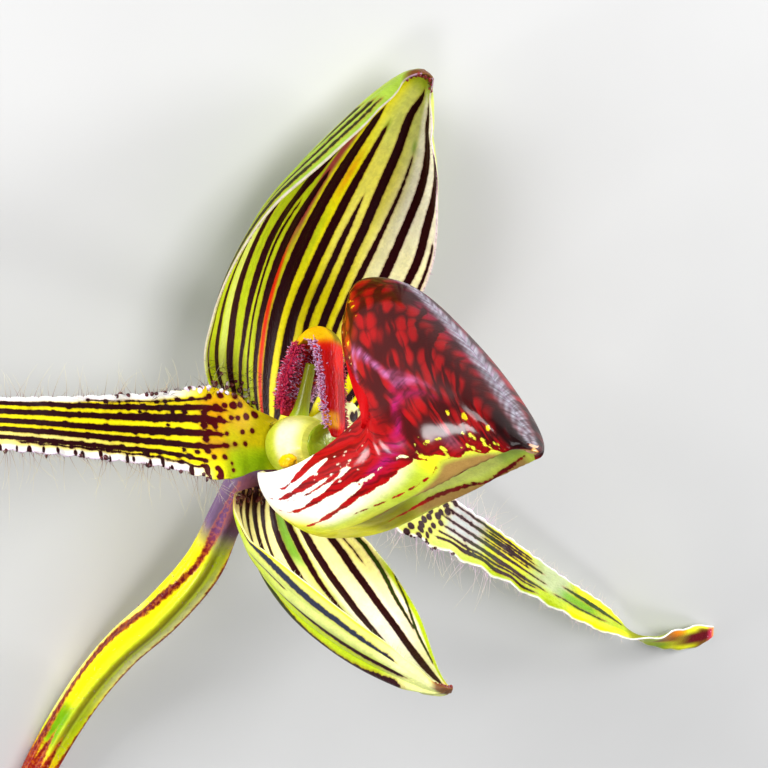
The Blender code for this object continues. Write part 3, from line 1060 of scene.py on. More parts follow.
@dataclass(frozen=True)
class TissueFinish:
    """Living petal, sepal or stem skin with markings in the mesh's own stain colour.

    Attributes:
        name: the material's name.
        fringe: the colour round the markings' edges.
        wander: how far the edges stray, in mm.
        blur: how soft they are, in mm.
        fringe_width: how far the fringe reaches past them, in mm.
        mottle: how far the fringe's colour breaks up the markings.
        cell: the width of a skin cell, in mm.
        relief: the height of the cells, in mm.
        roughness: of the skin.
        sheen: how much the fine down glows at a low angle.
        coat: how waxy it is.
        tint: how light the darkest and the lightest cells are.
        uneven: how far the roughness strays down and up.
        fringe_blur: how soft the fringe is, in mm.
        fringe_strength: how far it covers the ground.
        broken: from and to which value of the noise the markings break up.
    """

    name: str
    fringe: Hue = Hue.RUST
    wander: float = 0.3
    blur: float = 0.06
    fringe_width: float = 0.14
    mottle: float = 0.0
    cell: float = 0.28
    relief: float = 0.05
    roughness: float = 0.45
    sheen: float = 0.0
    coat: float = 0.0
    tint: Pair = (0.88, 1.08)
    uneven: Pair = (0.06, 0.08)
    fringe_blur: float = 0.18
    fringe_strength: float = 0.5
    broken: Pair = (0.46, 0.62)

    def material(self, effects: Effects) -> Material:
        """Build the material.

        Args:
            effects: the shared node groups.

        Returns:
            The material.
        """
        material, tree, sockets = new_material(self.name, {
            "Sheen Weight": self.sheen,
            "Sheen Roughness": 0.4,
            "Coat Weight": self.coat,
            "Coat Roughness": 0.2,
            "Specular IOR Level": 0.08,
            "Subsurface Weight": 0.1,
            "Subsurface Radius": (1.0, 0.7, 0.25),
            "Subsurface Scale": 0.6 * MM,
        })
        lamina = attribute(tree, "lamina", "Vector")
        pigment = attribute(tree, "pigment", "Fac")
        grain = grouped(tree, effects.cell_grain, {"Lamina": lamina, "Cell": self.cell})
        edge = {"Lamina": lamina, "Wander": self.wander}
        mark = grouped(tree, effects.pigment_edge, {"Depth": pigment, "Blur": self.blur, **edge})["Mask"]
        wider = maths(tree, "ADD", pigment, self.fringe_width)
        soft = {"Depth": wider, "Blur": self.fringe_blur, **edge}
        fringe = grouped(tree, effects.pigment_edge, soft)["Mask"]
        tint = grey(tree, ranged(tree, grain["Shade"], 0.0, 1.0, *self.tint))
        ground = mixed(tree, 1.0, attribute(tree, "ground", "Color"), tint, "MULTIPLY")
        cover = maths(tree, "MULTIPLY", fringe, self.fringe_strength)
        fringed = mixed(tree, cover, ground, colour(self.fringe))
        broken = ranged(tree, noise(tree, lamina, 1.3, 4.0), *self.broken, 0.0, self.mottle)
        stain = mixed(tree, broken, attribute(tree, "stain", "Color"), colour(self.fringe))
        tree.links.new(mixed(tree, mark, fringed, stain), sockets["Base Color"])
        smoothest, roughest = self.roughness - self.uneven[0], self.roughness + self.uneven[1]
        tree.links.new(ranged(tree, grain["Shade"], 0.0, 1.0, smoothest, roughest), sockets["Roughness"])
        height = maths(tree, "MULTIPLY_ADD", mark, 0.6, grain["Height"])
        bump = wire(tree, "ShaderNodeBump", {"Height": height, "Distance": self.relief * MM, "Strength": 1.0})
        tree.links.new(bump.outputs[0], sockets["Normal"])
        return material


@dataclass(frozen=True)
class PouchFinish:
    """The waxy skin of the pouch: red streaks on cream that run together into a red hood of glowing cells.

    Attributes:
        name: the material's name.
        cell: the width of a glowing cell, in mm.
        relief: how far the cells stand out, in mm.
        roughness: of the skin.
        coat: how waxy it is.
        grain: the width of a skin cell, in mm.
        wander: how far the red's edges stray, in mm.
        blur: how soft they are, in mm.
        tint: how light the darkest and the lightest skin cells are.
        plain: how light the red is between its darkest and its lightest fibres.
        lit: how light it is between the veins and the glowing cells.
        uneven: how far the roughness strays down and up.
    """

    name: str
    cell: float = 2.1
    relief: float = 0.16
    roughness: float = 0.5
    coat: float = 0.3
    grain: float = 0.22
    wander: float = 0.6
    blur: float = 0.1
    tint: Pair = (0.86, 1.08)
    plain: Pair = (0.36, 0.9)
    lit: Pair = (0.12, 0.8)
    uneven: Pair = (0.05, 0.08)

    def material(self, effects: Effects) -> Material:
        """Build the material.

        Args:
            effects: the shared node groups.

        Returns:
            The material.
        """
        material, tree, sockets = new_material(self.name, {
            "Coat Weight": self.coat,
            "Coat Roughness": 0.12,
            "Specular IOR Level": 0.06,
            "Subsurface Weight": 0.08,
            "Subsurface Radius": (1.0, 0.3, 0.2),
            "Subsurface Scale": 0.6 * MM,
        })
        lamina = attribute(tree, "lamina", "Vector")
        netting = attribute(tree, "netting", "Fac")
        grain = grouped(tree, effects.cell_grain, {"Lamina": lamina, "Cell": self.grain})
        hood = grouped(tree, effects.hood_cells, {"Lamina": lamina, "Wide": self.cell})
        edge = {"Lamina": lamina, "Wander": self.wander, "Blur": self.blur}
        edge["Depth"] = attribute(tree, "pigment", "Fac")
        mark = grouped(tree, effects.pigment_edge, edge)["Mask"]
        tint = grey(tree, ranged(tree, grain["Shade"], 0.0, 1.0, *self.tint))
        ground = mixed(tree, 1.0, attribute(tree, "ground", "Color"), tint, "MULTIPLY")
        plain = ranged(tree, hood["Fibre"], 0.0, 1.0, *self.plain)
        lit = ranged(tree, hood["Glow"], 0.0, 1.0, *self.lit)
        light = wire(tree, "ShaderNodeMix", {0: netting, 2: plain, 3: lit}).outputs[0]
        red = mixed(tree, 1.0, attribute(tree, "stain", "Color"), grey(tree, light), "MULTIPLY")
        tree.links.new(mixed(tree, mark, ground, red), sockets["Base Color"])
        smoothest, roughest = self.roughness - self.uneven[0], self.roughness + self.uneven[1]
        tree.links.new(ranged(tree, grain["Shade"], 0.0, 1.0, smoothest, roughest), sockets["Roughness"])
        swell = maths(tree, "MULTIPLY", hood["Glow"], netting)
        height = maths(tree, "MULTIPLY_ADD", grain["Height"], 0.1, swell)
        bump = wire(tree, "ShaderNodeBump", {"Height": height, "Distance": self.relief * MM, "Strength": 0.8})
        tree.links.new(bump.outputs[0], sockets["Normal"])
        return material


@dataclass(frozen=True)
class StrandFinish:
    """Hairs, glands and warts, which carry their own colours.

    Attributes:
        name: the material's name.
        roughness: of their skin.
        coat: how wet they look.
    """

    name: str
    roughness: float = 0.4
    coat: float = 0.1

    def material(self, effects: Effects) -> Material:
        """Build the material.

        Args:
            effects: the shared node groups; not used.

        Returns:
            The material.
        """
        settings = {"Roughness": self.roughness, "Coat Weight": self.coat, "Specular IOR Level": 0.35}
        material, tree, sockets = new_material(self.name, settings)
        tree.links.new(attribute(tree, "ground", "Color"), sockets["Base Color"])
        return material


@dataclass(frozen=True)
class FloorFinish:
    """The plain pale surface under the flower.

    Attributes:
        name: the material's name.
        light: how light it is.
        mottle: how far that strays.
    """

    name: str = "pale surface"
    light: float = 0.6
    mottle: float = 0.02

    def material(self, effects: Effects) -> Material:
        """Build the material.

        Args:
            effects: the shared node groups; not used.

        Returns:
            The material.
        """
        material, tree, sockets = new_material(self.name, {"Roughness": 0.7})
        patches = noise(tree, wire(tree, "ShaderNodeTexCoord").outputs["Object"], 9.0, 4.0)
        tone = ranged(tree, patches, 0.3, 0.7, self.light - self.mottle, self.light + self.mottle)
        tree.links.new(grey(tree, tone), sockets["Base Color"])
        return material


# The flower's pieces


@dataclass
class Bench:
    """What every piece is made with.

    Attributes:
        placement: how the flower lies.
        chance: the one source of all unevenness.
        finishes: the materials by name.
        triangles: how many the pieces have so far.
    """

    placement: Placement = field(default_factory=Placement)
    chance: np.random.Generator = field(default_factory=lambda: np.random.default_rng(SEED))
    finishes: dict[str, Material] = field(default_factory=dict)
    triangles: int = 0

    def prepare(self) -> None:
        """Build all the finishes."""
        effects = Effects()
        for finish in (
            TissueFinish("sepal face", wander=0.25, relief=0.045),
            TissueFinish("sepal back", wander=0.4, roughness=0.55, sheen=0.12, relief=0.08),
            TissueFinish("petal face", wander=0.3, cell=0.3),
            TissueFinish("petal back", wander=0.4, roughness=0.5, sheen=0.1),
            TissueFinish("staminode skin", fringe=Hue.PINK, wander=0.9, relief=0.08, cell=0.34),
            TissueFinish("stem skin", fringe=Hue.ORANGE, wander=0.9, blur=0.22, mottle=0.3, cell=0.4,
                         coat=0.15),
            TissueFinish("column skin", fringe=Hue.LIME, wander=0.8, blur=0.5, coat=0.3),
            TissueFinish("pouch lining", fringe=Hue.PINK, wander=0.6),
            PouchFinish("pouch skin"),
            StrandFinish("hair"),
            StrandFinish("wart", roughness=0.3, coat=0.4),
            FloorFinish(),
        ):
            self.finishes[finish.name] = finish.material(effects)

    def put(self, draft: Draft, name: str, finishes: tuple[str, ...], node: str = "") -> None:
        """Make a piece from a draft.

        Args:
            draft: its mesh.
            name: its name.
            finishes: the names of its finishes, one for each slot of the draft.
            node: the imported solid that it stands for, if any.
        """
        piece = draft.make(name, tuple(self.finishes[finish] for finish in finishes), self.placement)
        proud = "a piece of its own"
        if node:
            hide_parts(node)
            laid = self.placement.world(np.concatenate(draft.points))
            low, high = (np.array(corner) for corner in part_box(node))
            past = np.maximum(low - laid.min(axis=0), laid.max(axis=0) - high) / MM
            proud = f"out of its solid's box by {np.round(past, 2).tolist()} mm"
        triangles = sum(len(polygon.vertices) - 2 for polygon in piece.data.polygons)
        self.triangles += triangles
        log.info("%s: %d triangles, %s", name, triangles, proud)

    def sow(self, name: str, sheet: Sheet, tufts: tuple[Tuft, ...], finish: str, slot: str,
            offset: Array | float = 0.0) -> None:
        """Make a piece of hairs or warts.

        Args:
            name: its name.
            sheet: the sheet that they grow from.
            tufts: the hairs or warts.
            finish: the name of their finish.
            slot: the material slot of the part; not used.
            offset: how far the skin lies from the sheet at each point, in mm.
        """
        draft = Draft()
        for tuft in tufts:
            tuft.sow(draft, sheet, self.chance, offset)
        self.put(draft, name, (finish,))


@dataclass
class Sepal:
    """A boat-shaped sepal with nerves, and keels down its back.

    Attributes:
        name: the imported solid's name.
        stations: rows of share, forward, up, half width and cup in degrees.
        side_sign: 1 where places across grow to the flower's left.
        nerves: how many shallow folds run down each half.
        widening: how much wider the left half is, near the base and at the tip.
        flare: how much wider still the left half is close to the base.
        bow: how far the middle bows to the left, in mm.
        keels: the places across of the keels.
        grid: rows and columns of the mesh.
        face: the colours of the face.
        back: the colours of the back.
        face_stain: the colours of the face's markings.
        back_stain: the colours of the back's markings.
        face_stripes: the stripes of the face.
        back_stripes: the stripes of the back.
        hairs: the hairs on the face.
        warts: the warts on the face.
        thickness: inside the blade, in mm.
        margin_thickness: at its very edge, in mm.
        edge: at each end it thins over its length divided by the first, and across from the second place.
        keel_height: how far the keels stand out, in mm.
        keel_start: the share at which they start, and over which they grow.
        keel_width: how far across a keel reaches each way.
        relief: the height of the folds, in mm.
        fold_stretch: how much sooner than the tip the folds fade.
        widening_grown: the share from which the widening is whole.
        flare_span: where the flare is.
        bow_power: below 1 where the bow is widest before the middle.
    """

    name: str
    stations: tuple
    side_sign: int
    nerves: int
    widening: Pair
    flare: float
    bow: float
    keels: tuple[float, ...]
    grid: tuple[int, int]
    face: Coat
    back: Coat
    face_stain: Coat
    back_stain: Coat
    face_stripes: tuple[Stripe, ...]
    back_stripes: tuple[Stripe, ...]
    hairs: tuple[Tuft, ...]
    warts: tuple[Tuft, ...]
    thickness: float = 0.85
    margin_thickness: float = 0.35
    edge: Pair = (14, 0.82)
    keel_height: float = 1.0
    keel_start: float = 0.12
    keel_width: float = 0.1
    relief: float = 0.16
    fold_stretch: float = 1.08
    widening_grown: float = 0.25
    flare_span: Span = (-0.01, 0.03, 0.10, 0.26)
    bow_power: float = 0.85

    def sheet(self) -> Sheet:
        """Shape the face of the sepal.

        Returns:
            The face.
        """
        shares, place = grid_lines(self.grid)
        forward, up, half_width, cup = smooth(self.stations, shares).T
        spine = in_plane(forward, up, self.bow * np.sin(math.pi * shares**self.bow_power))
        wider = self.widening[0] + (self.widening[1] - self.widening[0]) * shares[:, None]
        wider = wider * np.clip(shares[:, None] / self.widening_grown, 0, 1)
        wider = wider + self.flare * ramp(shares[:, None], self.flare_span)
        stretch = place * (1 + wider * (self.side_sign * place > 0))
        axis = (0, self.side_sign, 0)
        points = cupped(spine, half_width, np.radians(cup), np.zeros_like(shares), axis, stretch)
        sheet = Sheet(points, shares[:, None], place, half_width[:, None])
        fade = np.sin(math.pi * np.clip(shares * self.fold_stretch, 0, 1)).clip(0) ** 0.5
        folds = self.relief * np.cos(math.pi * self.nerves * place)
        sheet.points = points + sheet.normals() * (fade[:, None] * folds)[..., None]
        return sheet

    def back_skin(self, sheet: Sheet) -> Array:
        """Shape the back, behind the face by the thickness, which swells at the keels.

        Args:
            sheet: the face.

        Returns:
            The points of the back.
        """
        share = sheet.shares
        depth = sheet.thinned(self.thickness, self.margin_thickness, *self.edge)
        grown = np.clip((share / self.keel_start - 1), 0, 1) * np.clip((1 - share) / self.keel_start, 0, 1)
        for keel in self.keels:
            depth = depth + self.keel_height * grown * ramp(sheet.across, near(keel, self.keel_width))
        return sheet.points - sheet.normals() * depth[..., None]

    def build(self, bench: Bench) -> None:
        """Make the blade with its hairs and warts.

        Args:
            bench: what it is made with.
        """
        sheet = self.sheet()
        face = painted(sheet, self.face, self.face_stain, stripe_depth(sheet, self.face_stripes))
        back = painted(sheet, self.back, self.back_stain, stripe_depth(sheet, self.back_stripes))
        draft = Draft()
        draft.add_shell(sheet.points, self.back_skin(sheet), face, back)
        bench.put(draft, f"{self.name}_blade", ("sepal face", "sepal back"), self.name)
        bench.sow(f"{self.name}_hairs", sheet, self.hairs, "hair", "sepal")
        bench.sow(f"{self.name}_warts", sheet, self.warts, "wart", "sepal")


DORSAL_SEPAL = Sepal(
    name="dorsal_sepal",
    stations=(
        (0.00, -0.4, 3.8, 11.5, 8),
        (0.06, -0.8, 9.5, 15.4, 14),
        (0.18, 0.2, 19.0, 18.6, 32),
        (0.36, 4.8, 31.3, 20.8, 50),
        (0.56, 12.4, 41.8, 20.0, 62),
        (0.74, 21.4, 49.8, 15.6, 78),
        (0.87, 29.2, 55.2, 9.4, 88),
        (0.96, 35.0, 57.2, 4.2, 74),
        (1.00, 37.4, 56.6, 1.2, 20),
    ),
    side_sign=1,
    nerves=12,
    widening=(0.18, 0.18),
    flare=0.24,
    bow=0.0,
    keels=(0.0,),
    grid=(190, 150),
    face=Coat(Hue.YELLOW, (
        (Hue.LIME, ALL, before(-0.1, 0.03), 0.9),
        (Hue.MOSS, ALL, before(-0.5, -0.15), 0.4),
        (Hue.PALE_GREEN, ALL, (-0.76, -0.72, -0.68, -0.62), 0.5),
        (Hue.LIME, near(0.45, 0.16), near(0.11, 0.06), 0.8),
        (Hue.CREAM, after(0.15, 0.42), after(0.46, 0.64), 1.0),
        (Hue.CREAM, after(0.3, 0.5), (0.22, 0.28, 0.6, 0.7), 0.25),
        (Hue.PALE_GREEN, after(0.66, 0.82), after(0.0, 0.25), 0.7),
        (Hue.IVORY, after(0.45, 0.65), after(0.58, 0.66), 0.9),
        (Hue.EMBER, before(0.34, 0.52), (-0.17, -0.12, -0.09, -0.055), 1.0),
        (Hue.ROSE, (0.34, 0.5, 0.72, 0.84), (-0.14, -0.1, -0.06, -0.01), 1.0),
        (Hue.EMBER, near(0.64, 0.12), near(0.125, 0.05), 0.55),
        (Hue.GREEN, near(0.79, 0.035), near(0.21, 0.05), 0.8),
        (Hue.GREEN, near(0.79, 0.03), near(0.58, 0.04), 0.7),
        (Hue.LIME, after(0.9, 0.96), ALL, 0.85),
        (Hue.WINE, after(0.965, 0.985), ALL, 0.9),
        (Hue.LILAC, after(0.05, 0.1), after(0.975, 0.998), 0.5),
        (Hue.LILAC, after(0.05, 0.1), before(-0.998, -0.975), 0.4),
    )),
    back=Coat(Hue.MOSS, (
        (Hue.PALE_GREEN, after(0.5, 0.8), ALL, 0.3),
        (Hue.PALE_GREEN, ALL, after(0.5, 0.9), 0.5),
        (Hue.GREEN, after(0.5, 0.7), before(-0.7, -0.4), 0.4),
        (Hue.LILAC, ALL, before(-0.995, -0.975), 0.5),
        (Hue.WINE, after(0.955, 0.985), ALL, 0.9),
    )),
    face_stain=Coat(Hue.MAROON),
    back_stain=Coat(Hue.MAROON, ((Hue.PINE, ALL, ALL, 0.4),)),
    face_stripes=(
        ((0.03, -0.94, 0.3), (0.60, -0.93, 0.3)),
        ((0.03, -0.76, 0.5), (0.12, -0.80, 0.7), (0.30, -0.82, 0.8), (0.60, -0.80, 0.7), (0.85, -0.72, 0.3)),
        ((0.05, -0.56, 0.6), (0.15, -0.58, 1.0), (0.30, -0.60, 1.25), (0.50, -0.58, 1.1), (0.75, -0.52, 0.5)),
        ((0.04, -0.42, 0.35), (0.15, -0.38, 0.4), (0.30, -0.36, 0.75), (0.40, -0.345, 0.9),
         (0.50, -0.30, 1.1), (0.65, -0.20, 0.8), (0.76, -0.15, 0.3)),
        ((0.05, -0.30, 0.25), (0.25, -0.27, 0.3), (0.40, -0.25, 0.3), (0.52, -0.20, 0.12)),
        ((0.03, -0.19, 0.3), (0.15, -0.18, 0.5), (0.25, -0.17, 0.7), (0.40, -0.145, 1.0), (0.50, -0.115, 1.0),
         (0.61, -0.07, 0.4)),
        ((0.01, -0.04, 0.6), (0.10, -0.02, 0.75), (0.25, 0.0, 1.15), (0.40, 0.03, 1.25), (0.50, 0.04, 1.1),
         (0.65, 0.045, 0.95), (0.80, 0.04, 0.6)),
        ((0.02, 0.13, 0.55), (0.10, 0.14, 0.72), (0.25, 0.163, 0.82), (0.40, 0.197, 0.8), (0.60, 0.21, 0.7),
         (0.78, 0.206, 0.3)),
        ((0.13, 0.28, 0.2), (0.25, 0.29, 0.42), (0.40, 0.316, 0.5), (0.50, 0.32, 0.4), (0.59, 0.32, 0.12)),
        ((0.03, 0.39, 0.5), (0.25, 0.418, 0.65), (0.50, 0.43, 0.65), (0.75, 0.42, 0.65), (0.87, 0.44, 0.5),
         (0.925, 0.52, 0.25)),
        ((0.03, 0.50, 0.4), (0.30, 0.53, 0.45), (0.40, 0.546, 0.5), (0.55, 0.56, 0.33), (0.76, 0.585, 0.12)),
        ((0.03, 0.66, 0.5), (0.30, 0.69, 0.5), (0.40, 0.70, 0.65), (0.55, 0.706, 0.6), (0.65, 0.727, 0.6),
         (0.75, 0.77, 0.75), (0.85, 0.80, 0.7), (0.91, 0.78, 0.35)),
        ((0.03, 0.82, 0.6), (0.35, 0.86, 0.5), (0.50, 0.878, 0.6), (0.65, 0.89, 0.65), (0.75, 0.95, 0.7),
         (0.82, 0.97, 0.4)),
        ((0.03, 0.93, 0.4), (0.30, 0.96, 0.3), (0.58, 0.97, 0.25)),
    ),
    back_stripes=(
        ((0.03, -0.95, 0.25), (0.50, -0.94, 0.35), (0.88, -0.90, 0.15)),
        ((0.03, -0.85, 0.4), (0.50, -0.84, 0.5), (0.86, -0.78, 0.25)),
        ((0.05, -0.71, 0.45), (0.50, -0.70, 0.6), (0.82, -0.62, 0.3)),
        ((0.05, -0.52, 0.4), (0.50, -0.50, 0.6), (0.80, -0.42, 0.3)),
        ((0.05, -0.28, 0.4), (0.50, -0.26, 0.6), (0.80, -0.22, 0.3)),
        ((0.04, 0.0, 0.6), (0.50, 0.02, 0.8), (0.80, 0.02, 0.5)),
        ((0.05, 0.24, 0.4), (0.50, 0.26, 0.6), (0.80, 0.22, 0.3)),
        ((0.05, 0.46, 0.4), (0.50, 0.48, 0.6), (0.80, 0.42, 0.3)),
        ((0.05, 0.68, 0.45), (0.50, 0.70, 0.6), (0.82, 0.66, 0.3)),
        ((0.03, 0.88, 0.4), (0.50, 0.88, 0.5), (0.80, 0.86, 0.25)),
    ),
    hairs=(
        Tuft(110, (0.02, 0.10), (-0.95, -0.1), (0.8, 2.2), (0.035, 0.055), (Hue.MAROON, Hue.MAROON), face=1,
             curl=0.6),
        Tuft(60, (0.05, 0.5), (-1.0, -1.0), (0.4, 1.1), (0.03, 0.04), (Hue.PLUM, Hue.LILAC), lean=0.9),
        Tuft(60, (0.3, 0.95), (1.0, 1.0), (0.3, 0.8), (0.03, 0.04), (Hue.PLUM, Hue.LILAC), lean=0.9),
    ),
    warts=(
        wart_tuft(60, (0.975, 1.0), (-1.0, 1.0), (0.2, 0.5), (0.18, 0.32), (Hue.WINE, Hue.RUST), sides=7),
        wart_tuft(40, (0.0, 0.07), (-0.98, -0.2), (0.3, 0.7), (0.25, 0.5), (Hue.MAROON, Hue.WINE), face=1),
        wart_tuft(26, (0.0, 0.06), (-0.98, -0.3), (0.2, 0.5), (0.3, 0.6), (Hue.LILAC, Hue.MOSS), face=1),
    ),
)

SYNSEPAL = Sepal(
    name="synsepal",
    stations=(
        (0.00, -0.6, -6.9, 8.0, 18),
        (0.08, -1.4, -11.6, 10.8, 36),
        (0.25, 1.5, -20.8, 14.4, 50),
        (0.42, 8.2, -28.6, 16.6, 62),
        (0.60, 17.6, -35.4, 16.2, 67),
        (0.78, 27.8, -40.7, 11.6, 72),
        (0.90, 35.2, -43.5, 6.4, 76),
        (0.97, 39.6, -44.6, 3.0, 60),
        (1.00, 41.6, -44.6, 1.2, 20),
    ),
    side_sign=-1,
    nerves=10,
    widening=(0.38, -0.48),
    flare=0.0,
    bow=2.6,
    keels=(-0.3, 0.3),
    grid=(170, 130),
    face=Coat(Hue.IVORY, (
        (Hue.YELLOW, before(0.25, 0.55), ALL, 0.5),
        (Hue.YELLOW, ALL, (-0.92, -0.88, -0.8, -0.75), 0.25),
        (Hue.PALE_GREEN, after(0.6, 0.85), ALL, 0.6),
        (Hue.LIME, before(0.5, 0.7), (-0.4, -0.36, -0.3, -0.1), 0.6),
        (Hue.GREEN, (0.02, 0.1, 0.2, 0.3), (-0.32, -0.26, -0.16, -0.1), 0.9),
        (Hue.LIME, after(0.25, 0.4), before(-0.97, -0.93), 1.0),
        (Hue.GOLD, after(0.9, 0.97), ALL, 0.6),
        (Hue.WINE, after(0.972, 0.99), ALL, 0.9),
        (Hue.RUST, before(0.03, 0.09), after(0.0, 0.3), 0.7),
    )),
    back=Coat(Hue.LIME, (
        (Hue.MOSS, ALL, before(0.1, 0.5), 0.5),
        (Hue.PALE_GREEN, after(0.1, 0.4), after(0.7, 0.85), 0.75),
        (Hue.CREAM, after(0.3, 0.6), (0.62, 0.7, 0.74, 0.84), 0.35),
        (Hue.YELLOW, ALL, after(0.955, 0.99), 0.8),
        (Hue.CREAM, after(0.8, 0.9), ALL, 0.45),
        (Hue.WINE, after(0.97, 0.99), ALL, 0.9),
    )),
    face_stain=Coat(Hue.MAROON, ((Hue.PINE, ALL, before(-0.9, -0.84), 0.8),)),
    back_stain=Coat(Hue.MAROON, (
        (Hue.SLATE, before(0.8, 0.95), after(0.76, 0.82), 1.0),
        (Hue.PINE, before(0.4, 0.6), before(0.5, 0.7), 0.6),
    )),
    face_stripes=(
        ((0.42, -1.0, 0.12), (0.50, -0.97, 0.2), (0.62, -0.90, 0.25), (0.80, -0.94, 0.2)),
        ((0.04, -0.96, 0.2), (0.20, -0.955, 0.3), (0.33, -0.94, 0.34), (0.50, -0.88, 0.3),
         (0.62, -0.87, 0.15)),
        ((0.16, -0.83, 0.1), (0.30, -0.83, 0.12)),
        ((0.04, -0.72, 0.3), (0.20, -0.72, 0.5), (0.50, -0.70, 0.6), (0.65, -0.70, 0.7), (0.80, -0.74, 0.8),
         (0.90, -0.79, 0.5)),
        ((0.04, -0.48, 0.4), (0.20, -0.47, 0.6), (0.33, -0.475, 0.65), (0.50, -0.46, 0.65),
         (0.68, -0.44, 0.4)),
        ((0.04, -0.30, 0.4), (0.20, -0.325, 0.5), (0.35, -0.325, 0.35), (0.60, -0.33, 0.15)),
        ((0.03, -0.10, 0.5), (0.12, -0.09, 0.6), (0.30, -0.14, 0.5), (0.70, -0.12, 0.5), (0.90, -0.10, 0.2)),
        ((0.03, 0.10, 0.6), (0.12, 0.12, 0.5), (0.50, 0.06, 0.4), (0.80, 0.05, 0.3)),
        ((0.02, 0.32, 0.8), (0.12, 0.30, 0.6), (0.50, 0.28, 0.6), (0.85, 0.26, 0.3)),
        ((0.02, 0.52, 0.8), (0.12, 0.52, 0.6), (0.50, 0.50, 0.6), (0.85, 0.46, 0.3)),
        ((0.02, 0.74, 0.7), (0.15, 0.74, 0.5), (0.50, 0.72, 0.5), (0.80, 0.68, 0.3)),
        ((0.10, 0.92, 0.3), (0.60, 0.92, 0.3)),
    ),
    back_stripes=(
        ((0.16, 1.0, 0.15), (0.26, 0.985, 0.28), (0.36, 0.955, 0.38), (0.50, 0.92, 0.42), (0.62, 0.89, 0.42),
         (0.74, 0.88, 0.34), (0.87, 0.85, 0.18)),
        ((0.12, 0.86, 0.2), (0.30, 0.83, 0.32), (0.48, 0.77, 0.12)),
        ((0.18, 0.70, 0.2), (0.30, 0.68, 0.4), (0.45, 0.62, 0.5), (0.60, 0.59, 0.55), (0.75, 0.57, 0.5),
         (0.88, 0.55, 0.3)),
        ((0.14, 0.54, 0.2), (0.30, 0.50, 0.35), (0.42, 0.45, 0.3), (0.56, 0.42, 0.1)),
        ((0.20, 0.36, 0.25), (0.35, 0.34, 0.35), (0.55, 0.31, 0.35), (0.70, 0.30, 0.35), (0.86, 0.32, 0.3)),
        ((0.12, 0.20, 0.25), (0.35, 0.18, 0.35), (0.60, 0.12, 0.35), (0.85, 0.10, 0.3)),
        ((0.08, 0.0, 0.3), (0.50, -0.02, 0.35), (0.85, -0.04, 0.3)),
        ((0.08, -0.20, 0.4), (0.50, -0.20, 0.5), (0.85, -0.16, 0.3)),
        ((0.08, -0.42, 0.4), (0.50, -0.40, 0.6), (0.85, -0.34, 0.3)),
        ((0.10, -0.64, 0.4), (0.50, -0.62, 0.6), (0.85, -0.54, 0.3)),
        ((0.10, -0.86, 0.3), (0.50, -0.84, 0.5), (0.80, -0.78, 0.3)),
    ),
    hairs=(
        Tuft(90, (0.3, 0.95), (1.0, 1.0), (0.3, 0.9), (0.03, 0.04), (Hue.MOSS, Hue.CREAM), lean=0.9),
        Tuft(60, (0.3, 0.95), (-1.0, -1.0), (0.3, 0.8), (0.03, 0.04), (Hue.MOSS, Hue.CREAM), lean=0.9),
    ),
    warts=(
        wart_tuft(60, (0.978, 1.0), (-1.0, 1.0), (0.2, 0.45), (0.18, 0.3), (Hue.WINE, Hue.RUST), sides=7),
        wart_tuft(24, (0.0, 0.05), (0.1, 0.95), (0.2, 0.5), (0.25, 0.5), (Hue.MAROON, Hue.WINE), face=1),
    ),
)


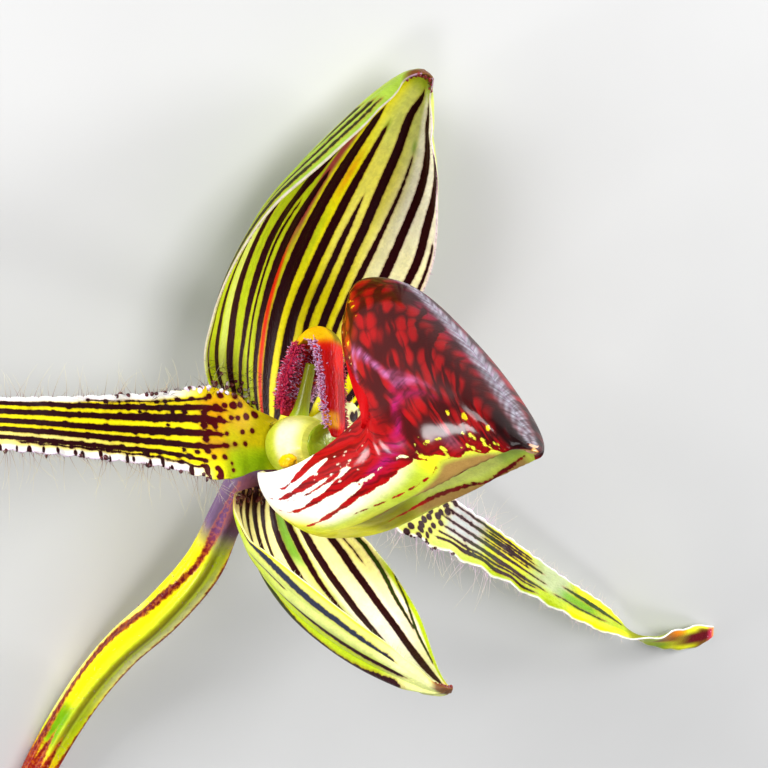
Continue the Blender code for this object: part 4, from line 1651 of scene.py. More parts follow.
@dataclass
class Petal:
    """A long petal with waved edges, drawn out to a twisted tip.

    Attributes:
        name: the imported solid's name.
        side_sign: 1 for the left petal, -1 for the right.
        droop: how far it hangs, as a share of the left one's droop.
        width: its width as a share of the stations'.
        flare: how much wider its upper half is close to the base.
        face: the colours of the face.
        back: the colours of the back.
        stain: the colours of the markings.
        lines: the dark lines along it.
        spots: rows of share, place across and radius in mm.
        beads_end: the share at which the lines' swellings end.
        spread: how much further the lines and spots reach, in mm.
        wedges: from and to which share dark wedges stand on the margin at place -1.
        hairs: the hairs on both margins.
        warts: the warts on both margins.
        stations: rows of share, forward, sideways, up, half width, and cup and twist in degrees.
        grid: rows and columns of the mesh.
        thickness: inside the blade, in mm.
        margin_thickness: at its very edge, in mm.
        edge: at each end it thins over its length divided by the first, and across from the second place.
        wave_height: the height of the waved edges, in mm.
        waves: how many there are.
        wave_width: the half width from which they have their whole height, in mm.
        wave_least: the least share of it.
        wave_grown: the share at which they are full grown.
        scallops: how many small notches each margin has.
        scallop_depth: how deep they are, as a share of the half width.
        scallop_span: where they are.
        scallop_sway: how far their spacing sways, and how fast.
        scallop_power: below 1 where they are narrower than the lobes between them.
        scallop_reach: the higher, the closer to the margin they stay.
        flare_span: where the flare is.
        stretches: how much longer the spots, the swellings and the wedges are along the petal than across it.
        wedge_step: how far apart the wedges are, as a share.
        wedge_stray: how far they stray from there.
        wedge_places: from and to which place across their middles lie.
        wedge_radii: their least and greatest radius, in mm.
        back_fade: how much narrower the markings of the back are each way, in mm.
        rooting: how deep hairs and warts stand, as a share of the half thickness.
    """

    name: str
    side_sign: int
    droop: float
    width: float
    flare: float
    face: Coat
    back: Coat
    stain: Coat
    lines: tuple[Stripe, ...]
    spots: tuple
    beads_end: float
    spread: float
    wedges: Pair
    hairs: tuple[Tuft, ...]
    warts: tuple[Tuft, ...]
    stations: tuple = (
        (0.00, 2.4, 0.5, -0.8, 4.4, 2, 0),
        (0.04, 2.5, 5.5, -0.9, 5.4, 4, 0),
        (0.08, 2.6, 10.0, -1.2, 7.2, 8, 0),
        (0.13, 2.5, 16.0, -2.0, 8.1, 10, 0),
        (0.18, 2.0, 23.0, -3.5, 6.9, 12, 0),
        (0.31, 1.2, 38.5, -7.4, 5.4, 14, 0),
        (0.45, 0.6, 56.0, -12.0, 4.3, 12, 0),
        (0.60, 0.3, 74.0, -17.2, 3.3, 6, 0),
        (0.75, 0.0, 90.0, -21.2, 2.6, 0, 15),
        (0.82, 0.0, 98.5, -23.2, 2.2, 0, 75),
        (0.90, 0.5, 108.5, -22.8, 2.6, 10, 130),
        (0.97, 1.5, 116.6, -21.2, 2.1, 10, 150),
        (1.00, 2.2, 119.2, -20.2, 1.0, 6, 150),
    )
    grid: tuple[int, int] = (480, 40)
    thickness: float = 0.8
    margin_thickness: float = 0.3
    edge: Pair = (30, 0.7)
    wave_height: float = 0.55
    waves: int = 15
    wave_width: float = 5.0
    wave_least: float = 0.3
    wave_grown: float = 0.1
    scallops: int = 46
    scallop_depth: float = 0.05
    scallop_span: Span = (0.1, 0.16, 0.93, 0.98)
    scallop_sway: Pair = (0.8, 9)
    scallop_power: float = 0.6
    scallop_reach: int = 8
    flare_span: Span = near(0.11, 0.08)
    stretches: Triple = (1.3, 1.4, 0.5)
    wedge_step: float = 0.021
    wedge_stray: float = 0.007
    wedge_places: Pair = (-1.0, -0.82)
    wedge_radii: Pair = (0.5, 1.05)
    back_fade: float = 0.12
    rooting: float = 0.6

    def sheet(self) -> Sheet:
        """Shape the middle surface of the petal.

        Returns:
            The surface.
        """
        shares, place = grid_lines(self.grid)
        forward, sideways, up, half_width, cup, twist = smooth(self.stations, shares).T
        half_width = half_width * self.width
        spine = in_plane(forward, self.droop * up, self.side_sign * sideways)
        sway, turns = self.scallop_sway
        lobes = math.pi * self.scallops * shares + sway * np.sin(turns * shares)
        notch = np.abs(np.sin(lobes)) ** self.scallop_power
        notch = self.scallop_depth * (1 - notch) * ramp(shares, self.scallop_span)
        trimmed = place * (1 - notch[:, None] * np.abs(place) ** self.scallop_reach)
        upper = -self.side_sign * place > 0
        trimmed = trimmed * (1 + self.flare * ramp(shares[:, None], self.flare_span) * upper)
        axis = (0, 0, -self.side_sign)
        points = cupped(spine, half_width, np.radians(cup), np.radians(self.side_sign * twist), axis, trimmed)
        sheet = Sheet(points, shares[:, None], place, half_width[:, None])
        turn = 2 * math.pi * self.waves * shares
        wave = np.sin(turn) * np.clip(half_width / self.wave_width, self.wave_least, 1)
        wave = self.wave_height * wave * np.clip(shares / self.wave_grown, 0, 1)
        one_side = wave[:, None] * np.clip(place, 0, 1) ** 2
        other_side = (wave * np.cos(turn))[:, None] * np.clip(-place, 0, 1) ** 2
        sheet.points = points + sheet.normals() * (one_side + other_side)[..., None]
        return sheet

    def markings(self, chance: np.random.Generator, sheet: Sheet) -> Array:
        """Work out the lines, the spots and the wedges.

        Args:
            chance: where their unevenness comes from.
            sheet: the middle surface.

        Returns:
            How deep each point lies in one of them, in mm.
        """
        long_spots, long_beads, long_wedges = self.stretches
        depth = stripe_depth(sheet, self.lines)
        depth = np.maximum(depth, spot_depth(sheet, self.spots, long_spots)) + self.spread
        swellings = beads(chance, sheet, self.lines, self.beads_end)
        depth = np.maximum(depth, spot_depth(sheet, swellings, long_beads))
        shares = np.arange(*self.wedges, self.wedge_step)
        shares = shares + chance.uniform(-self.wedge_stray, self.wedge_stray, len(shares))
        spans = (self.wedge_places, self.wedge_radii)
        wedges = tuple((share, *(chance.uniform(*span) for span in spans)) for share in shares)
        return np.maximum(depth, spot_depth(sheet, wedges, long_wedges))

    def build(self, bench: Bench) -> None:
        """Make the petal with its hairs and warts.

        Args:
            bench: what it is made with.
        """
        sheet = self.sheet()
        half = sheet.thinned(self.thickness, self.margin_thickness, *self.edge) / 2
        offset = sheet.normals() * half[..., None]
        face = painted(sheet, self.face, self.stain, self.markings(bench.chance, sheet))
        back = face | {"ground": self.back.over(sheet), "pigment": face["pigment"] - self.back_fade}
        draft = Draft()
        draft.add_shell(sheet.points + offset, sheet.points - offset, face, back)
        bench.put(draft, f"{self.name}_blade", ("petal face", "petal back"), self.name)
        bench.sow(f"{self.name}_hairs", sheet, self.hairs, "hair", "petal", half * self.rooting)
        bench.sow(f"{self.name}_warts", sheet, self.warts, "wart", "petal", half * self.rooting)


def margin_tufts(top: int, far_end: float, root: Hue) -> tuple[Tuft, ...]:
    """Long pale hairs on both margins of a petal.

    Args:
        top: the place of the upper margin, 1 or -1.
        far_end: the share at which the longest ones end.
        root: the colour of their roots.

    Returns:
        The tufts.
    """
    pale = (root, Hue.CREAM)
    return (
        Tuft(70, (0.12, far_end), (-top, -top), (3.0, 7.5), (0.03, 0.045), pale, 0.9, curl=0.22, steps=7),
        Tuft(60, (0.12, far_end), (top, top), (1.5, 6.0), (0.03, 0.045), pale, 0.9, curl=0.25, steps=7),
        Tuft(160, (0.10, 0.85), (-top, -top), (0.5, 2.0), (0.025, 0.04), pale, 0.9, curl=0.3),
        Tuft(160, (0.10, 0.85), (top, top), (0.5, 2.0), (0.025, 0.04), pale, 0.9, curl=0.3),
    )


RIGHT_PETAL = Petal(
    name="right_petal",
    side_sign=-1,
    droop=0.47,
    width=0.95,
    flare=0.0,
    face=Coat(Hue.YELLOW, (
        (Hue.CREAM, after(0.2, 0.4), before(-0.4, -0.1), 0.45),
        (Hue.LIME, before(0.08, 0.14), ALL, 0.9),
        (Hue.GOLD, before(0.06, 0.13), (-0.4, -0.1, 1.1, 1.2), 0.45),
        (Hue.GREEN, (0.01, 0.03, 0.07, 0.12), before(-0.7, -0.2), 0.6),
        (Hue.ORANGE, (0.04, 0.08, 0.12, 0.17), after(-0.1, 0.4), 0.3),
        (Hue.EMBER, (0.09, 0.115, 0.13, 0.155), (-0.7, -0.4, 0.7, 0.9), 0.35),
        (Hue.ROSE, (0.07, 0.09, 0.13, 0.16), near(-0.25, 0.2), 0.4),
        (Hue.WHITE, after(0.12, 0.17), before(-0.86, -0.76), 1.0),
        (Hue.WHITE, after(0.14, 0.19), after(0.8, 0.88), 1.0),
        (Hue.LILAC, after(0.12, 0.2), before(-0.995, -0.95), 0.5),
        (Hue.LIME, after(0.72, 0.85), ALL, 0.8),
        (Hue.WINE, after(0.88, 0.94), (-0.85, -0.6, 0.6, 0.85), 0.9),
    )),
    back=Coat(Hue.LIME, (
        (Hue.MOSS, ALL, ALL, 0.3),
        (Hue.PALE_GREEN, after(0.12, 0.2), before(-0.9, -0.7), 0.7),
        (Hue.PALE_GREEN, after(0.12, 0.2), after(0.7, 0.9), 0.7),
        (Hue.WINE, after(0.88, 0.94), (-0.85, -0.6, 0.6, 0.85), 0.9),
    )),
    stain=Coat(Hue.MAROON, (
        (Hue.WINE, before(0.1, 0.18), ALL, 0.75),
        (Hue.PINE, after(0.6, 0.8), ALL, 0.5),
    )),
    lines=(
        ((0.145, -0.62, 0.25), (0.20, -0.60, 0.32), (0.30, -0.59, 0.34), (0.425, -0.52, 0.32),
         (0.80, -0.48, 0.3)),
        ((0.105, -0.26, 0.2), (0.13, -0.30, 0.35), (0.20, -0.33, 0.48), (0.30, -0.29, 0.46),
         (0.425, -0.20, 0.38), (0.85, -0.14, 0.3)),
        ((0.115, 0.0, 0.3), (0.15, -0.02, 0.5), (0.20, -0.02, 0.6), (0.30, 0.01, 0.48), (0.425, 0.12, 0.38),
         (0.85, 0.14, 0.3)),
        ((0.11, 0.30, 0.35), (0.15, 0.31, 0.55), (0.20, 0.33, 0.6), (0.30, 0.37, 0.44), (0.425, 0.47, 0.4),
         (0.82, 0.48, 0.3)),
        ((0.115, 0.54, 0.4), (0.15, 0.56, 0.42), (0.20, 0.60, 0.4), (0.30, 0.67, 0.4), (0.425, 0.78, 0.3),
         (0.70, 0.84, 0.2)),
        ((0.15, -0.80, 0.15), (0.30, -0.72, 0.15), (0.425, -0.66, 0.12)),
        ((0.14, 0.74, 0.2), (0.20, 0.77, 0.14), (0.32, 0.86, 0.1)),
    ),
    spots=(
        (0.065, -0.18, 0.42), (0.085, -0.20, 0.38), (0.105, -0.25, 0.4), (0.070, 0.14, 0.4),
        (0.050, 0.25, 0.42), (0.100, 0.03, 0.35), (0.045, 0.79, 0.6), (0.063, 0.59, 0.58),
        (0.080, 0.46, 0.42), (0.092, 0.42, 0.4), (0.118, 0.57, 0.65), (0.078, 0.80, 0.5), (0.090, 0.72, 0.6),
        (0.104, 0.66, 0.45), (0.088, 0.94, 0.4), (0.112, 0.34, 0.45), (0.120, 0.16, 0.45),
        (0.107, -0.52, 0.42), (0.125, -0.52, 0.4), (0.093, -0.66, 0.3), (0.090, -0.82, 0.3),
        (0.120, -0.76, 0.4), (0.135, -0.40, 0.5), (0.136, -0.14, 0.5), (0.138, 0.16, 0.5),
        (0.138, 0.44, 0.45), (0.150, -0.46, 0.35), (0.170, -0.47, 0.3), (0.190, 0.15, 0.25),
        (0.235, 0.50, 0.3), (0.165, 0.47, 0.35), (0.182, 0.48, 0.3), (0.130, 0.80, 0.45), (0.110, 0.86, 0.5),
        (0.118, -0.95, 0.4), (0.016, -0.45, 0.22), (0.014, -0.2, 0.22), (0.012, 0.05, 0.22),
        (0.010, 0.3, 0.22), (0.009, 0.55, 0.25),
    ),
    beads_end=0.42,
    spread=0.03,
    wedges=(0.12, 0.46),
    hairs=(
        *margin_tufts(1, 0.5, Hue.PLUM),
        Tuft(90, (0.005, 0.02), (-0.7, 0.7), (0.5, 1.3), (0.04, 0.06), (Hue.WINE, Hue.MAROON), face=1,
             curl=0.5),
        Tuft(50, (0.08, 0.22), (0.8, 1.0), (0.8, 2.2), (0.035, 0.055), (Hue.MAROON, Hue.MAROON), lean=0.6,
             curl=0.7),
    ),
    warts=(
        wart_tuft(16, (0.09, 0.28), (0.93, 1.0), (0.4, 0.8), (0.25, 0.42), (Hue.WINE, Hue.MAROON), 0.7),
        wart_tuft(12, (0.09, 0.2), (0.9, 1.0), (0.3, 0.6), (0.3, 0.5), (Hue.LILAC, Hue.WHITE), 0.6),
        wart_tuft(14, (0.10, 0.45), (-1.0, -0.95), (0.4, 0.8), (0.22, 0.4), (Hue.WINE, Hue.MAROON), 0.8),
    ),
)

LEFT_PETAL = Petal(
    name="left_petal",
    side_sign=1,
    droop=1.0,
    width=1.04,
    flare=0.35,
    face=Coat(Hue.LIME, (
        (Hue.PALE_GREEN, before(0.34, 0.44), ALL, 0.6),
        (Hue.CREAM, before(0.3, 0.36), before(-0.6, -0.3), 0.6),
        # Painted sheen: a grey-lilac frost over the spotted stretch
        (Hue.SHEEN_GREY, (0.325, 0.35, 0.4, 0.43), before(0.1, 0.6), 0.85),
        (Hue.MOSS, after(0.42, 0.46), ALL, 0.35),
        # Painted sheen: a fainter grey-lilac frost further out
        (Hue.SHEEN_GREY, (0.5, 0.57, 0.6, 0.64), before(0.0, 0.5), 0.45),
        (Hue.YELLOW, (0.42, 0.45, 0.5, 0.54), before(-0.4, 0.5), 0.5),
        (Hue.GREEN, (0.58, 0.62, 0.68, 0.72), (-0.4, -0.1, 0.2, 0.5), 0.85),
        (Hue.YELLOW, (0.62, 0.68, 0.76, 0.8), before(-0.6, -0.4), 0.9),
        (Hue.YELLOW, (0.6, 0.66, 0.76, 0.8), after(0.3, 0.6), 0.8),
        (Hue.OLIVE, (0.775, 0.79, 0.81, 0.83), ALL, 0.7),
        (Hue.WHITE, after(0.1, 0.2), before(-0.97, -0.93), 0.8),
        (Hue.WHITE, after(0.1, 0.2), after(0.93, 0.97), 0.8),
    )),
    back=Coat(Hue.LIME, (
        (Hue.MOSS, before(0.7, 0.8), ALL, 0.3),
        (Hue.YELLOW, after(0.84, 0.88), ALL, 0.5),
        (Hue.GREEN, near(0.875, 0.035), before(-0.3, 0.1), 0.7),
        (Hue.RUST, (0.84, 0.86, 0.89, 0.93), after(-0.2, 0.2), 0.85),
        (Hue.ORANGE, near(0.9, 0.03), after(0.3, 0.6), 0.6),
        (Hue.WINE, (0.87, 0.94, 0.985, 0.995), (-0.7, -0.2, 0.3, 0.75), 1.0),
        (Hue.WINE, (0.94, 0.965, 0.99, 0.998), before(0.6, 0.95), 0.9),
        (Hue.PINK, after(0.975, 0.99), ALL, 0.7),
        (Hue.WHITE, after(0.1, 0.2), before(-0.98, -0.93), 0.8),
        (Hue.WHITE, after(0.1, 0.2), after(0.93, 0.98), 0.8),
    )),
    stain=Coat(Hue.MAROON, (
        (Hue.PINE, after(0.5, 0.56), ALL, 1.0),
        (Hue.PINE, (0.38, 0.41, 0.44, 0.46), ALL, 0.5),
    )),
    lines=(
        ((0.33, -0.84, 0.1), (0.44, -0.80, 0.25), (0.52, -0.74, 0.08)),
        ((0.42, -0.66, 0.1), (0.47, -0.64, 0.13), (0.53, -0.60, 0.05)),
        ((0.33, -0.55, 0.12), (0.42, -0.50, 0.3), (0.46, -0.47, 0.42), (0.50, -0.44, 0.3),
         (0.55, -0.42, 0.08)),
        ((0.42, -0.30, 0.1), (0.52, -0.26, 0.08)),
        ((0.33, -0.22, 0.12), (0.42, -0.14, 0.3), (0.45, -0.10, 0.38), (0.49, -0.06, 0.2), (0.56, 0.0, 0.06)),
        ((0.34, 0.10, 0.15), (0.41, 0.18, 0.3), (0.45, 0.24, 0.42), (0.50, 0.31, 0.3), (0.56, 0.38, 0.08)),
        ((0.33, 0.38, 0.15), (0.42, 0.44, 0.2), (0.54, 0.52, 0.08)),
        ((0.33, 0.60, 0.2), (0.41, 0.62, 0.35), (0.47, 0.70, 0.3), (0.54, 0.78, 0.1)),
        ((0.61, -0.42, 0.1), (0.66, -0.40, 0.3), (0.71, -0.34, 0.3), (0.77, -0.18, 0.1)),
        ((0.59, 0.26, 0.05), (0.66, 0.28, 0.12), (0.73, 0.22, 0.04)),
    ),
    spots=(
        (0.345, -0.86, 0.5), (0.330, -0.62, 0.45), (0.335, -0.42, 0.55), (0.322, -0.28, 0.5),
        (0.318, -0.10, 0.6), (0.300, -0.12, 0.6), (0.326, 0.08, 0.5), (0.300, 0.10, 0.55),
        (0.290, 0.28, 0.6), (0.312, 0.30, 0.5), (0.285, 0.50, 0.6), (0.306, 0.52, 0.5), (0.283, 0.70, 0.6),
        (0.264, 0.70, 0.6), (0.300, 0.74, 0.5), (0.258, 0.92, 0.6), (0.280, 0.93, 0.5), (0.300, 0.95, 0.4),
        (0.310, -0.45, 0.5), (0.290, -0.35, 0.55), (0.270, -0.12, 0.6), (0.265, 0.12, 0.6),
        (0.262, 0.38, 0.6), (0.310, -0.78, 0.5), (0.285, -0.70, 0.5), (0.262, -0.52, 0.55),
        (0.255, -0.90, 0.5), (0.235, 0.0, 0.6), (0.235, 0.28, 0.6), (0.236, 0.56, 0.6), (0.232, 0.82, 0.6),
        (0.232, -0.32, 0.6), (0.230, -0.66, 0.6), (0.205, 0.0, 0.6), (0.205, 0.3, 0.6), (0.206, 0.6, 0.6),
        (0.204, -0.3, 0.6), (0.203, -0.62, 0.6), (0.202, -0.9, 0.5), (0.176, 0.12, 0.6), (0.176, 0.45, 0.6),
        (0.175, -0.2, 0.6), (0.175, -0.52, 0.6), (0.174, -0.82, 0.6), (0.148, 0.0, 0.6), (0.146, -0.34, 0.6),
        (0.145, -0.66, 0.65), (0.143, -0.94, 0.6), (0.146, 0.34, 0.6), (0.122, -0.5, 0.6),
        (0.120, -0.80, 0.6), (0.121, -0.18, 0.5), (0.122, 0.16, 0.5), (0.098, -0.66, 0.6),
        (0.097, -0.9, 0.5), (0.100, -0.36, 0.5), (0.100, -0.04, 0.4), (0.076, -0.8, 0.5), (0.078, -0.5, 0.5),
        (0.080, 0.2, 0.4),
    ),
    beads_end=0.4,
    spread=0.05,
    wedges=(0.12, 0.34),
    hairs=margin_tufts(-1, 0.45, Hue.LILAC),
    warts=(
        wart_tuft(10, (0.15, 0.36), (0.94, 1.0), (0.3, 0.7), (0.22, 0.38), (Hue.WINE, Hue.MAROON), 0.8),
        wart_tuft(10, (0.12, 0.32), (-1.0, -0.94), (0.3, 0.7), (0.22, 0.38), (Hue.WINE, Hue.MAROON), 0.8),
        wart_tuft(8, (0.976, 0.995), (-1.0, 1.0), (0.2, 0.4), (0.12, 0.2), (Hue.PINK, Hue.LILAC), 0.8,
                  sides=7),
    ),
)


@dataclass
class Lip:
    """The slipper: a channel from the column that closes over into a pointed pouch.

    Attributes:
        stations: rows of share, sole forward and up, rim or crest forward and up, half width, and the angle
            at which the wall ends in degrees.
        groove: rows of share and depth of the groove under the sole.
        trim: rows of share and how much the rim draws back at the notch, as a share of the wall's angle.
        red: rows of share and the place up the wall from which all is red.
        streaks: the streaks on the near wall; the far wall mirrors them.
        groove_line: the red line along the groove.
        dashes: the row of small spots.
        ground: the colours under the red, with painted shade in the groove under the sole.
        stain: the colours of the red, with a painted lilac sheen along the crest and a faint painted lilac
            highlight low on the hood.
        painted_sheens: hues and bands of painted sheen over the red: magenta and violet reflections on the
            hood, and a grey gloss along the crest.
        groove_half_width: half the width of the groove, in mm.
        ring_angle: the angle from which a row closes into a ring, in degrees.
        grid: rows and columns of the mesh.
        thickness: of the wall, in mm.
        rim_thickness: of its rim, in mm.
        rim_span: the shares between which the rim runs out.
        rim_start: the place from which the wall thins to the rim.
        toe_rows: how far round the rounded toe each of its rows lies, in degrees.
        toe_height: how far the toe stands out, in mm.
        streak_taper: how fast the streaks narrow past their ends, in mm for each mm.
        ripple: the height of the streaks' ripple in mm, and how fast it turns along and across.
        fingers: the height of the red's uneven edge in mm, and how fast it turns along.
        fingers_span: where that edge is uneven.
        flecks: rows of share, place and radius in mm of single pale flecks in the red.
        fleck_fields: how many more there are, and between which shares, places and radii.
        stretches: how much longer the dashes and the flecks are along the lip than across it.
        sheen_turns: how fast the painted sheen's streaks turn across, how far they sway, and how fast along.
        sheen_edge: the depths between which a band of painted sheen grows.
        sheen_strength: its strength, and how far the streaks change it.
        netting_spans: the shares and the places between which the net of veins grows.
        lining: the colours inside.
        lining_fade: how much narrower the red is inside, in mm.
    """

    stations: tuple = (
        (0.00, 3.5, -6.7, 4.9, -6.5, 7.2, 80),
        (0.05, 5.8, -12.8, 7.6, -7.4, 9.4, 84),
        (0.12, 11.0, -16.8, 12.6, -8.0, 10.2, 88),
        (0.20, 18.0, -18.4, 19.4, -7.4, 10.6, 92),
        (0.27, 24.5, -18.2, 26.6, -5.2, 10.8, 98),
        (0.34, 30.0, -17.2, 32.8, -1.8, 10.9, 104),
        (0.40, 34.0, -16.3, 34.6, 2.0, 11.0, 110),
        (0.46, 38.0, -15.6, 31.4, 6.4, 11.2, 118),
        (0.52, 41.4, -15.0, 27.0, 11.2, 11.4, 132),
        (0.58, 44.8, -14.4, 23.9, 17.2, 11.2, 150),
        (0.64, 47.8, -13.8, 23.4, 23.6, 10.8, 180),
        (0.72, 51.0, -13.2, 31.4, 22.4, 10.0, 180),
        (0.81, 54.1, -12.6, 39.7, 15.6, 8.8, 180),
        (0.90, 56.8, -12.0, 48.5, 6.2, 7.2, 180),
        (0.97, 58.9, -11.4, 55.4, -3.0, 4.8, 180),
        (1.00, 59.8, -10.6, 58.0, -7.2, 2.6, 180),
    )
    groove: tuple = ((0.0, 0.0), (0.14, 0.0), (0.30, 1.6), (0.50, 3.6), (0.80, 4.0), (0.94, 2.4), (1.00, 0.2))
    groove_half_width: float = 3.6
    ring_angle: float = 179.5
    trim: tuple = (
        (0.0, 0.0), (0.34, 0.0), (0.42, 0.035), (0.52, 0.05), (0.58, 0.02), (0.62, 0.0), (1.0, 0.0),
    )
    grid: tuple[int, int] = (200, 184)
    thickness: float = 0.95
    rim_thickness: float = 0.35
    rim_span: Pair = (0.56, 0.64)
    rim_start: float = 0.8
    toe_rows: tuple[float, ...] = (30, 55, 75)
    toe_height: float = 0.8
    streak_taper: float = 0.1
    ripple: Triple = (0.1, 1.6, 7)
    fingers: Pair = (0.5, 55)
    fingers_span: Span = (0.3, 0.5, 0.9, 1.0)
    flecks: tuple = ((0.863, 0.406, 0.55), (0.93, 0.45, 0.4), (0.80, 0.38, 0.35))
    fleck_fields: tuple = (
        (60, (0.575, 0.66), (0.66, 1.0), (0.08, 0.26)),
        (36, (0.57, 0.95), (0.2, 0.3), (0.1, 0.4)),
        (24, (0.2, 0.4), (0.6, 0.95), (0.03, 0.12)),
    )
    stretches: Pair = (1.3, 1.6)
    sheen_turns: Triple = (3.1, 2.2, 0.55)
    sheen_edge: Pair = (-1.6, 1.0)
    sheen_strength: Pair = (0.62, 0.3)
    netting_spans: tuple[Pair, Pair] = ((0.5, 0.62), (0.15, 0.3))
    lining: Coat = Coat(Hue.CREAM, ((Hue.PINK, after(0.3, 0.6), ALL, 0.5),))
    lining_fade: float = 0.5
    red: tuple = (
        (0.00, 1.4), (0.22, 1.1), (0.28, 0.80), (0.33, 0.64), (0.38, 0.54), (0.43, 0.46), (0.50, 0.40),
        (0.55, 0.35), (0.60, 0.255), (0.65, 0.20), (0.75, 0.19), (0.90, 0.18), (1.00, 0.12),
    )
    streaks: tuple[Stripe, ...] = (
        ((0.30, 0.312, 0.06), (0.37, 0.267, 0.14), (0.49, 0.226, 0.17), (0.57, 0.20, 0.15),
         (0.64, 0.185, 0.1)),
        ((0.150, 0.310, 0.08), (0.19, 0.36, 0.2), (0.23, 0.400, 0.34), (0.29, 0.440, 0.5), (0.36, 0.44, 0.9),
         (0.43, 0.42, 1.2), (0.50, 0.38, 1.0), (0.565, 0.31, 0.6)),
        ((0.140, 0.520, 0.15), (0.20, 0.57, 0.35), (0.24, 0.600, 0.55), (0.29, 0.61, 0.95), (0.34, 0.60, 1.5),
         (0.40, 0.57, 2.2)),
        ((0.116, 0.670, 0.12), (0.16, 0.72, 0.4), (0.20, 0.76, 0.65), (0.25, 0.79, 1.15), (0.31, 0.80, 2.2)),
        ((0.150, 0.800, 0.15), (0.19, 0.88, 0.55), (0.23, 0.950, 1.0), (0.28, 0.98, 1.8)),
        ((0.17, 0.66, 0.06), (0.22, 0.68, 0.14), (0.27, 0.70, 0.4)),
    )
    groove_line: Stripe = ((0.30, 0.085, 0.1), (0.38, 0.105, 0.3), (0.60, 0.105, 0.34), (0.80, 0.11, 0.3),
                           (0.88, 0.11, 0.15))
    dashes: tuple = (
        (0.316, 0.510, 0.16), (0.335, 0.500, 0.14), (0.350, 0.487, 0.22), (0.366, 0.478, 0.26),
        (0.385, 0.468, 0.24), (0.400, 0.458, 0.3), (0.415, 0.450, 0.35),
    )
    ground: Coat = Coat(Hue.IVORY, (
        (Hue.WHITE, before(0.14, 0.24), after(0.45, 0.7), 1.0),
        (Hue.CREAM, after(0.2, 0.4), ALL, 0.7),
        (Hue.YELLOW, (0.02, 0.06, 0.15, 0.24), before(0.3, 0.5), 0.95),
        (Hue.LIME, after(0.06, 0.16), before(0.26, 0.38), 0.9),
        (Hue.MOSS, (0.05, 0.1, 0.4, 0.5), before(0.08, 0.22), 0.4),
        (Hue.YELLOW, (0.05, 0.1, 0.3, 0.4), before(0.16, 0.3), 0.5),
        (Hue.OLIVE, (0.24, 0.28, 0.34, 0.40), before(0.15, 0.24), 0.85),
        # Painted shade: tan on the walls of the groove under the sole
        (Hue.TAN, (0.34, 0.40, 0.84, 0.92), (0.09, 0.115, 0.16, 0.19), 0.95),
        (Hue.PALE_GREEN, after(0.38, 0.46), before(0.07, 0.1), 0.9),
        (Hue.GREEN, (0.72, 0.8, 0.9, 0.95), before(0.08, 0.12), 0.5),
        (Hue.LIME, (0.36, 0.44, 0.62, 0.7), (0.17, 0.2, 0.24, 0.28), 0.6),
        (Hue.YELLOW, after(0.54, 0.6), (0.17, 0.2, 0.3, 0.4), 0.45),
        (Hue.PINK, after(0.92, 0.97), before(0.1, 0.25), 0.5),
        (Hue.GOLD, after(0.55, 0.6), after(0.32, 0.37), 1.0),
        (Hue.LIME, after(0.75, 0.8), after(0.32, 0.37), 0.4),
    ))
    stain: Coat = Coat(Hue.SCARLET, (
        (Hue.CRIMSON, ALL, ALL, 0.7),
        (Hue.MAROON, after(0.66, 0.82), ALL, 0.3),
        (Hue.ORANGE, (0.57, 0.6, 0.63, 0.66), after(0.55, 0.8), 0.35),
        (Hue.PLUM, after(0.66, 0.74), after(0.78, 0.94), 0.8),
        # Painted sheen: lilac frost along the crest. Painted highlight: a faint lilac gloss patch low on the
        # hood
        (Hue.LILAC, (0.66, 0.72, 0.96, 1.0), after(0.93, 0.99), 0.45),
        (Hue.LILAC, near(0.73, 0.05), near(0.26, 0.07), 0.25),
        (Hue.MAROON, after(0.92, 0.98), (0.1, 0.2, 0.7, 0.85), 0.85),
        (Hue.WINE, (0.38, 0.44, 0.8, 0.86), before(0.14, 0.17), 0.8),
    ))
    # Painted sheen: reflections of lamps on the waxy hood, laid into the red's colour as bands
    painted_sheens: tuple[tuple[Hue, Stripe], ...] = (
        (Hue.MAGENTA, ((0.39, 0.50, 0.3), (0.50, 0.44, 0.8), (0.62, 0.375, 0.9), (0.68, 0.42, 0.8))),
        (Hue.SHEEN_VIOLET, ((0.605, 0.66, 0.4), (0.643, 0.53, 0.9), (0.675, 0.46, 0.7))),
        (Hue.SHEEN_GREY, ((0.66, 1.0, 1.0), (0.80, 1.0, 2.1), (0.97, 0.97, 1.6))),
    )

    def sheet(self) -> tuple[Sheet, Array]:
        """Shape the outer skin.

        Returns:
            The sheet, and which of its rows close into a ring.
        """
        shares, place = grid_lines(self.grid)
        sole_x, sole_z, rim_x, rim_z, half_width, closing = smooth(self.stations, shares).T
        closed = closing > self.ring_angle
        full = np.radians(np.where(closed, 180, closing))
        closing = full * (1 - np.where(closed, 0, smooth(self.trim, shares)[:, 0].clip(0)))
        sole, rim = in_plane(sole_x, sole_z), in_plane(rim_x, rim_z)
        height = np.linalg.norm(rim - sole, axis=1)
        upward = (rim - sole) / height[:, None]
        full_height = 2 * height / (1 - np.cos(full))
        angle = closing[:, None] * place
        sideways = half_width[:, None] * np.sin(angle)
        lift = full_height[:, None] * (1 - np.cos(angle)) / 2
        inside = np.clip(1 - (sideways / self.groove_half_width) ** 2, 0, 1) * (np.cos(angle) > 0)
        lift = lift + smooth(self.groove, shares)[:, :1] * inside
        points = sole[:, None] + lift[..., None] * upward[:, None] - sideways[..., None] * LEFT
        ring, before_last = points[-1], points[-2].mean(axis=0)
        middle = ring.mean(axis=0)
        ahead = unit(middle - before_last) * self.toe_height
        turns = np.radians(self.toe_rows)
        toe = [middle + (ring - middle) * math.cos(turn) + ahead * math.sin(turn) for turn in turns]
        points = np.concatenate([points, np.array(toe)])
        closed = np.concatenate([closed, np.ones(len(toe), bool)])
        shares = np.concatenate([shares, np.ones(len(toe))])
        reach = np.linalg.norm(np.diff(points, axis=1), axis=2).sum(axis=1)[:, None] / 2
        return Sheet(points, shares[:, None], place, reach), closed

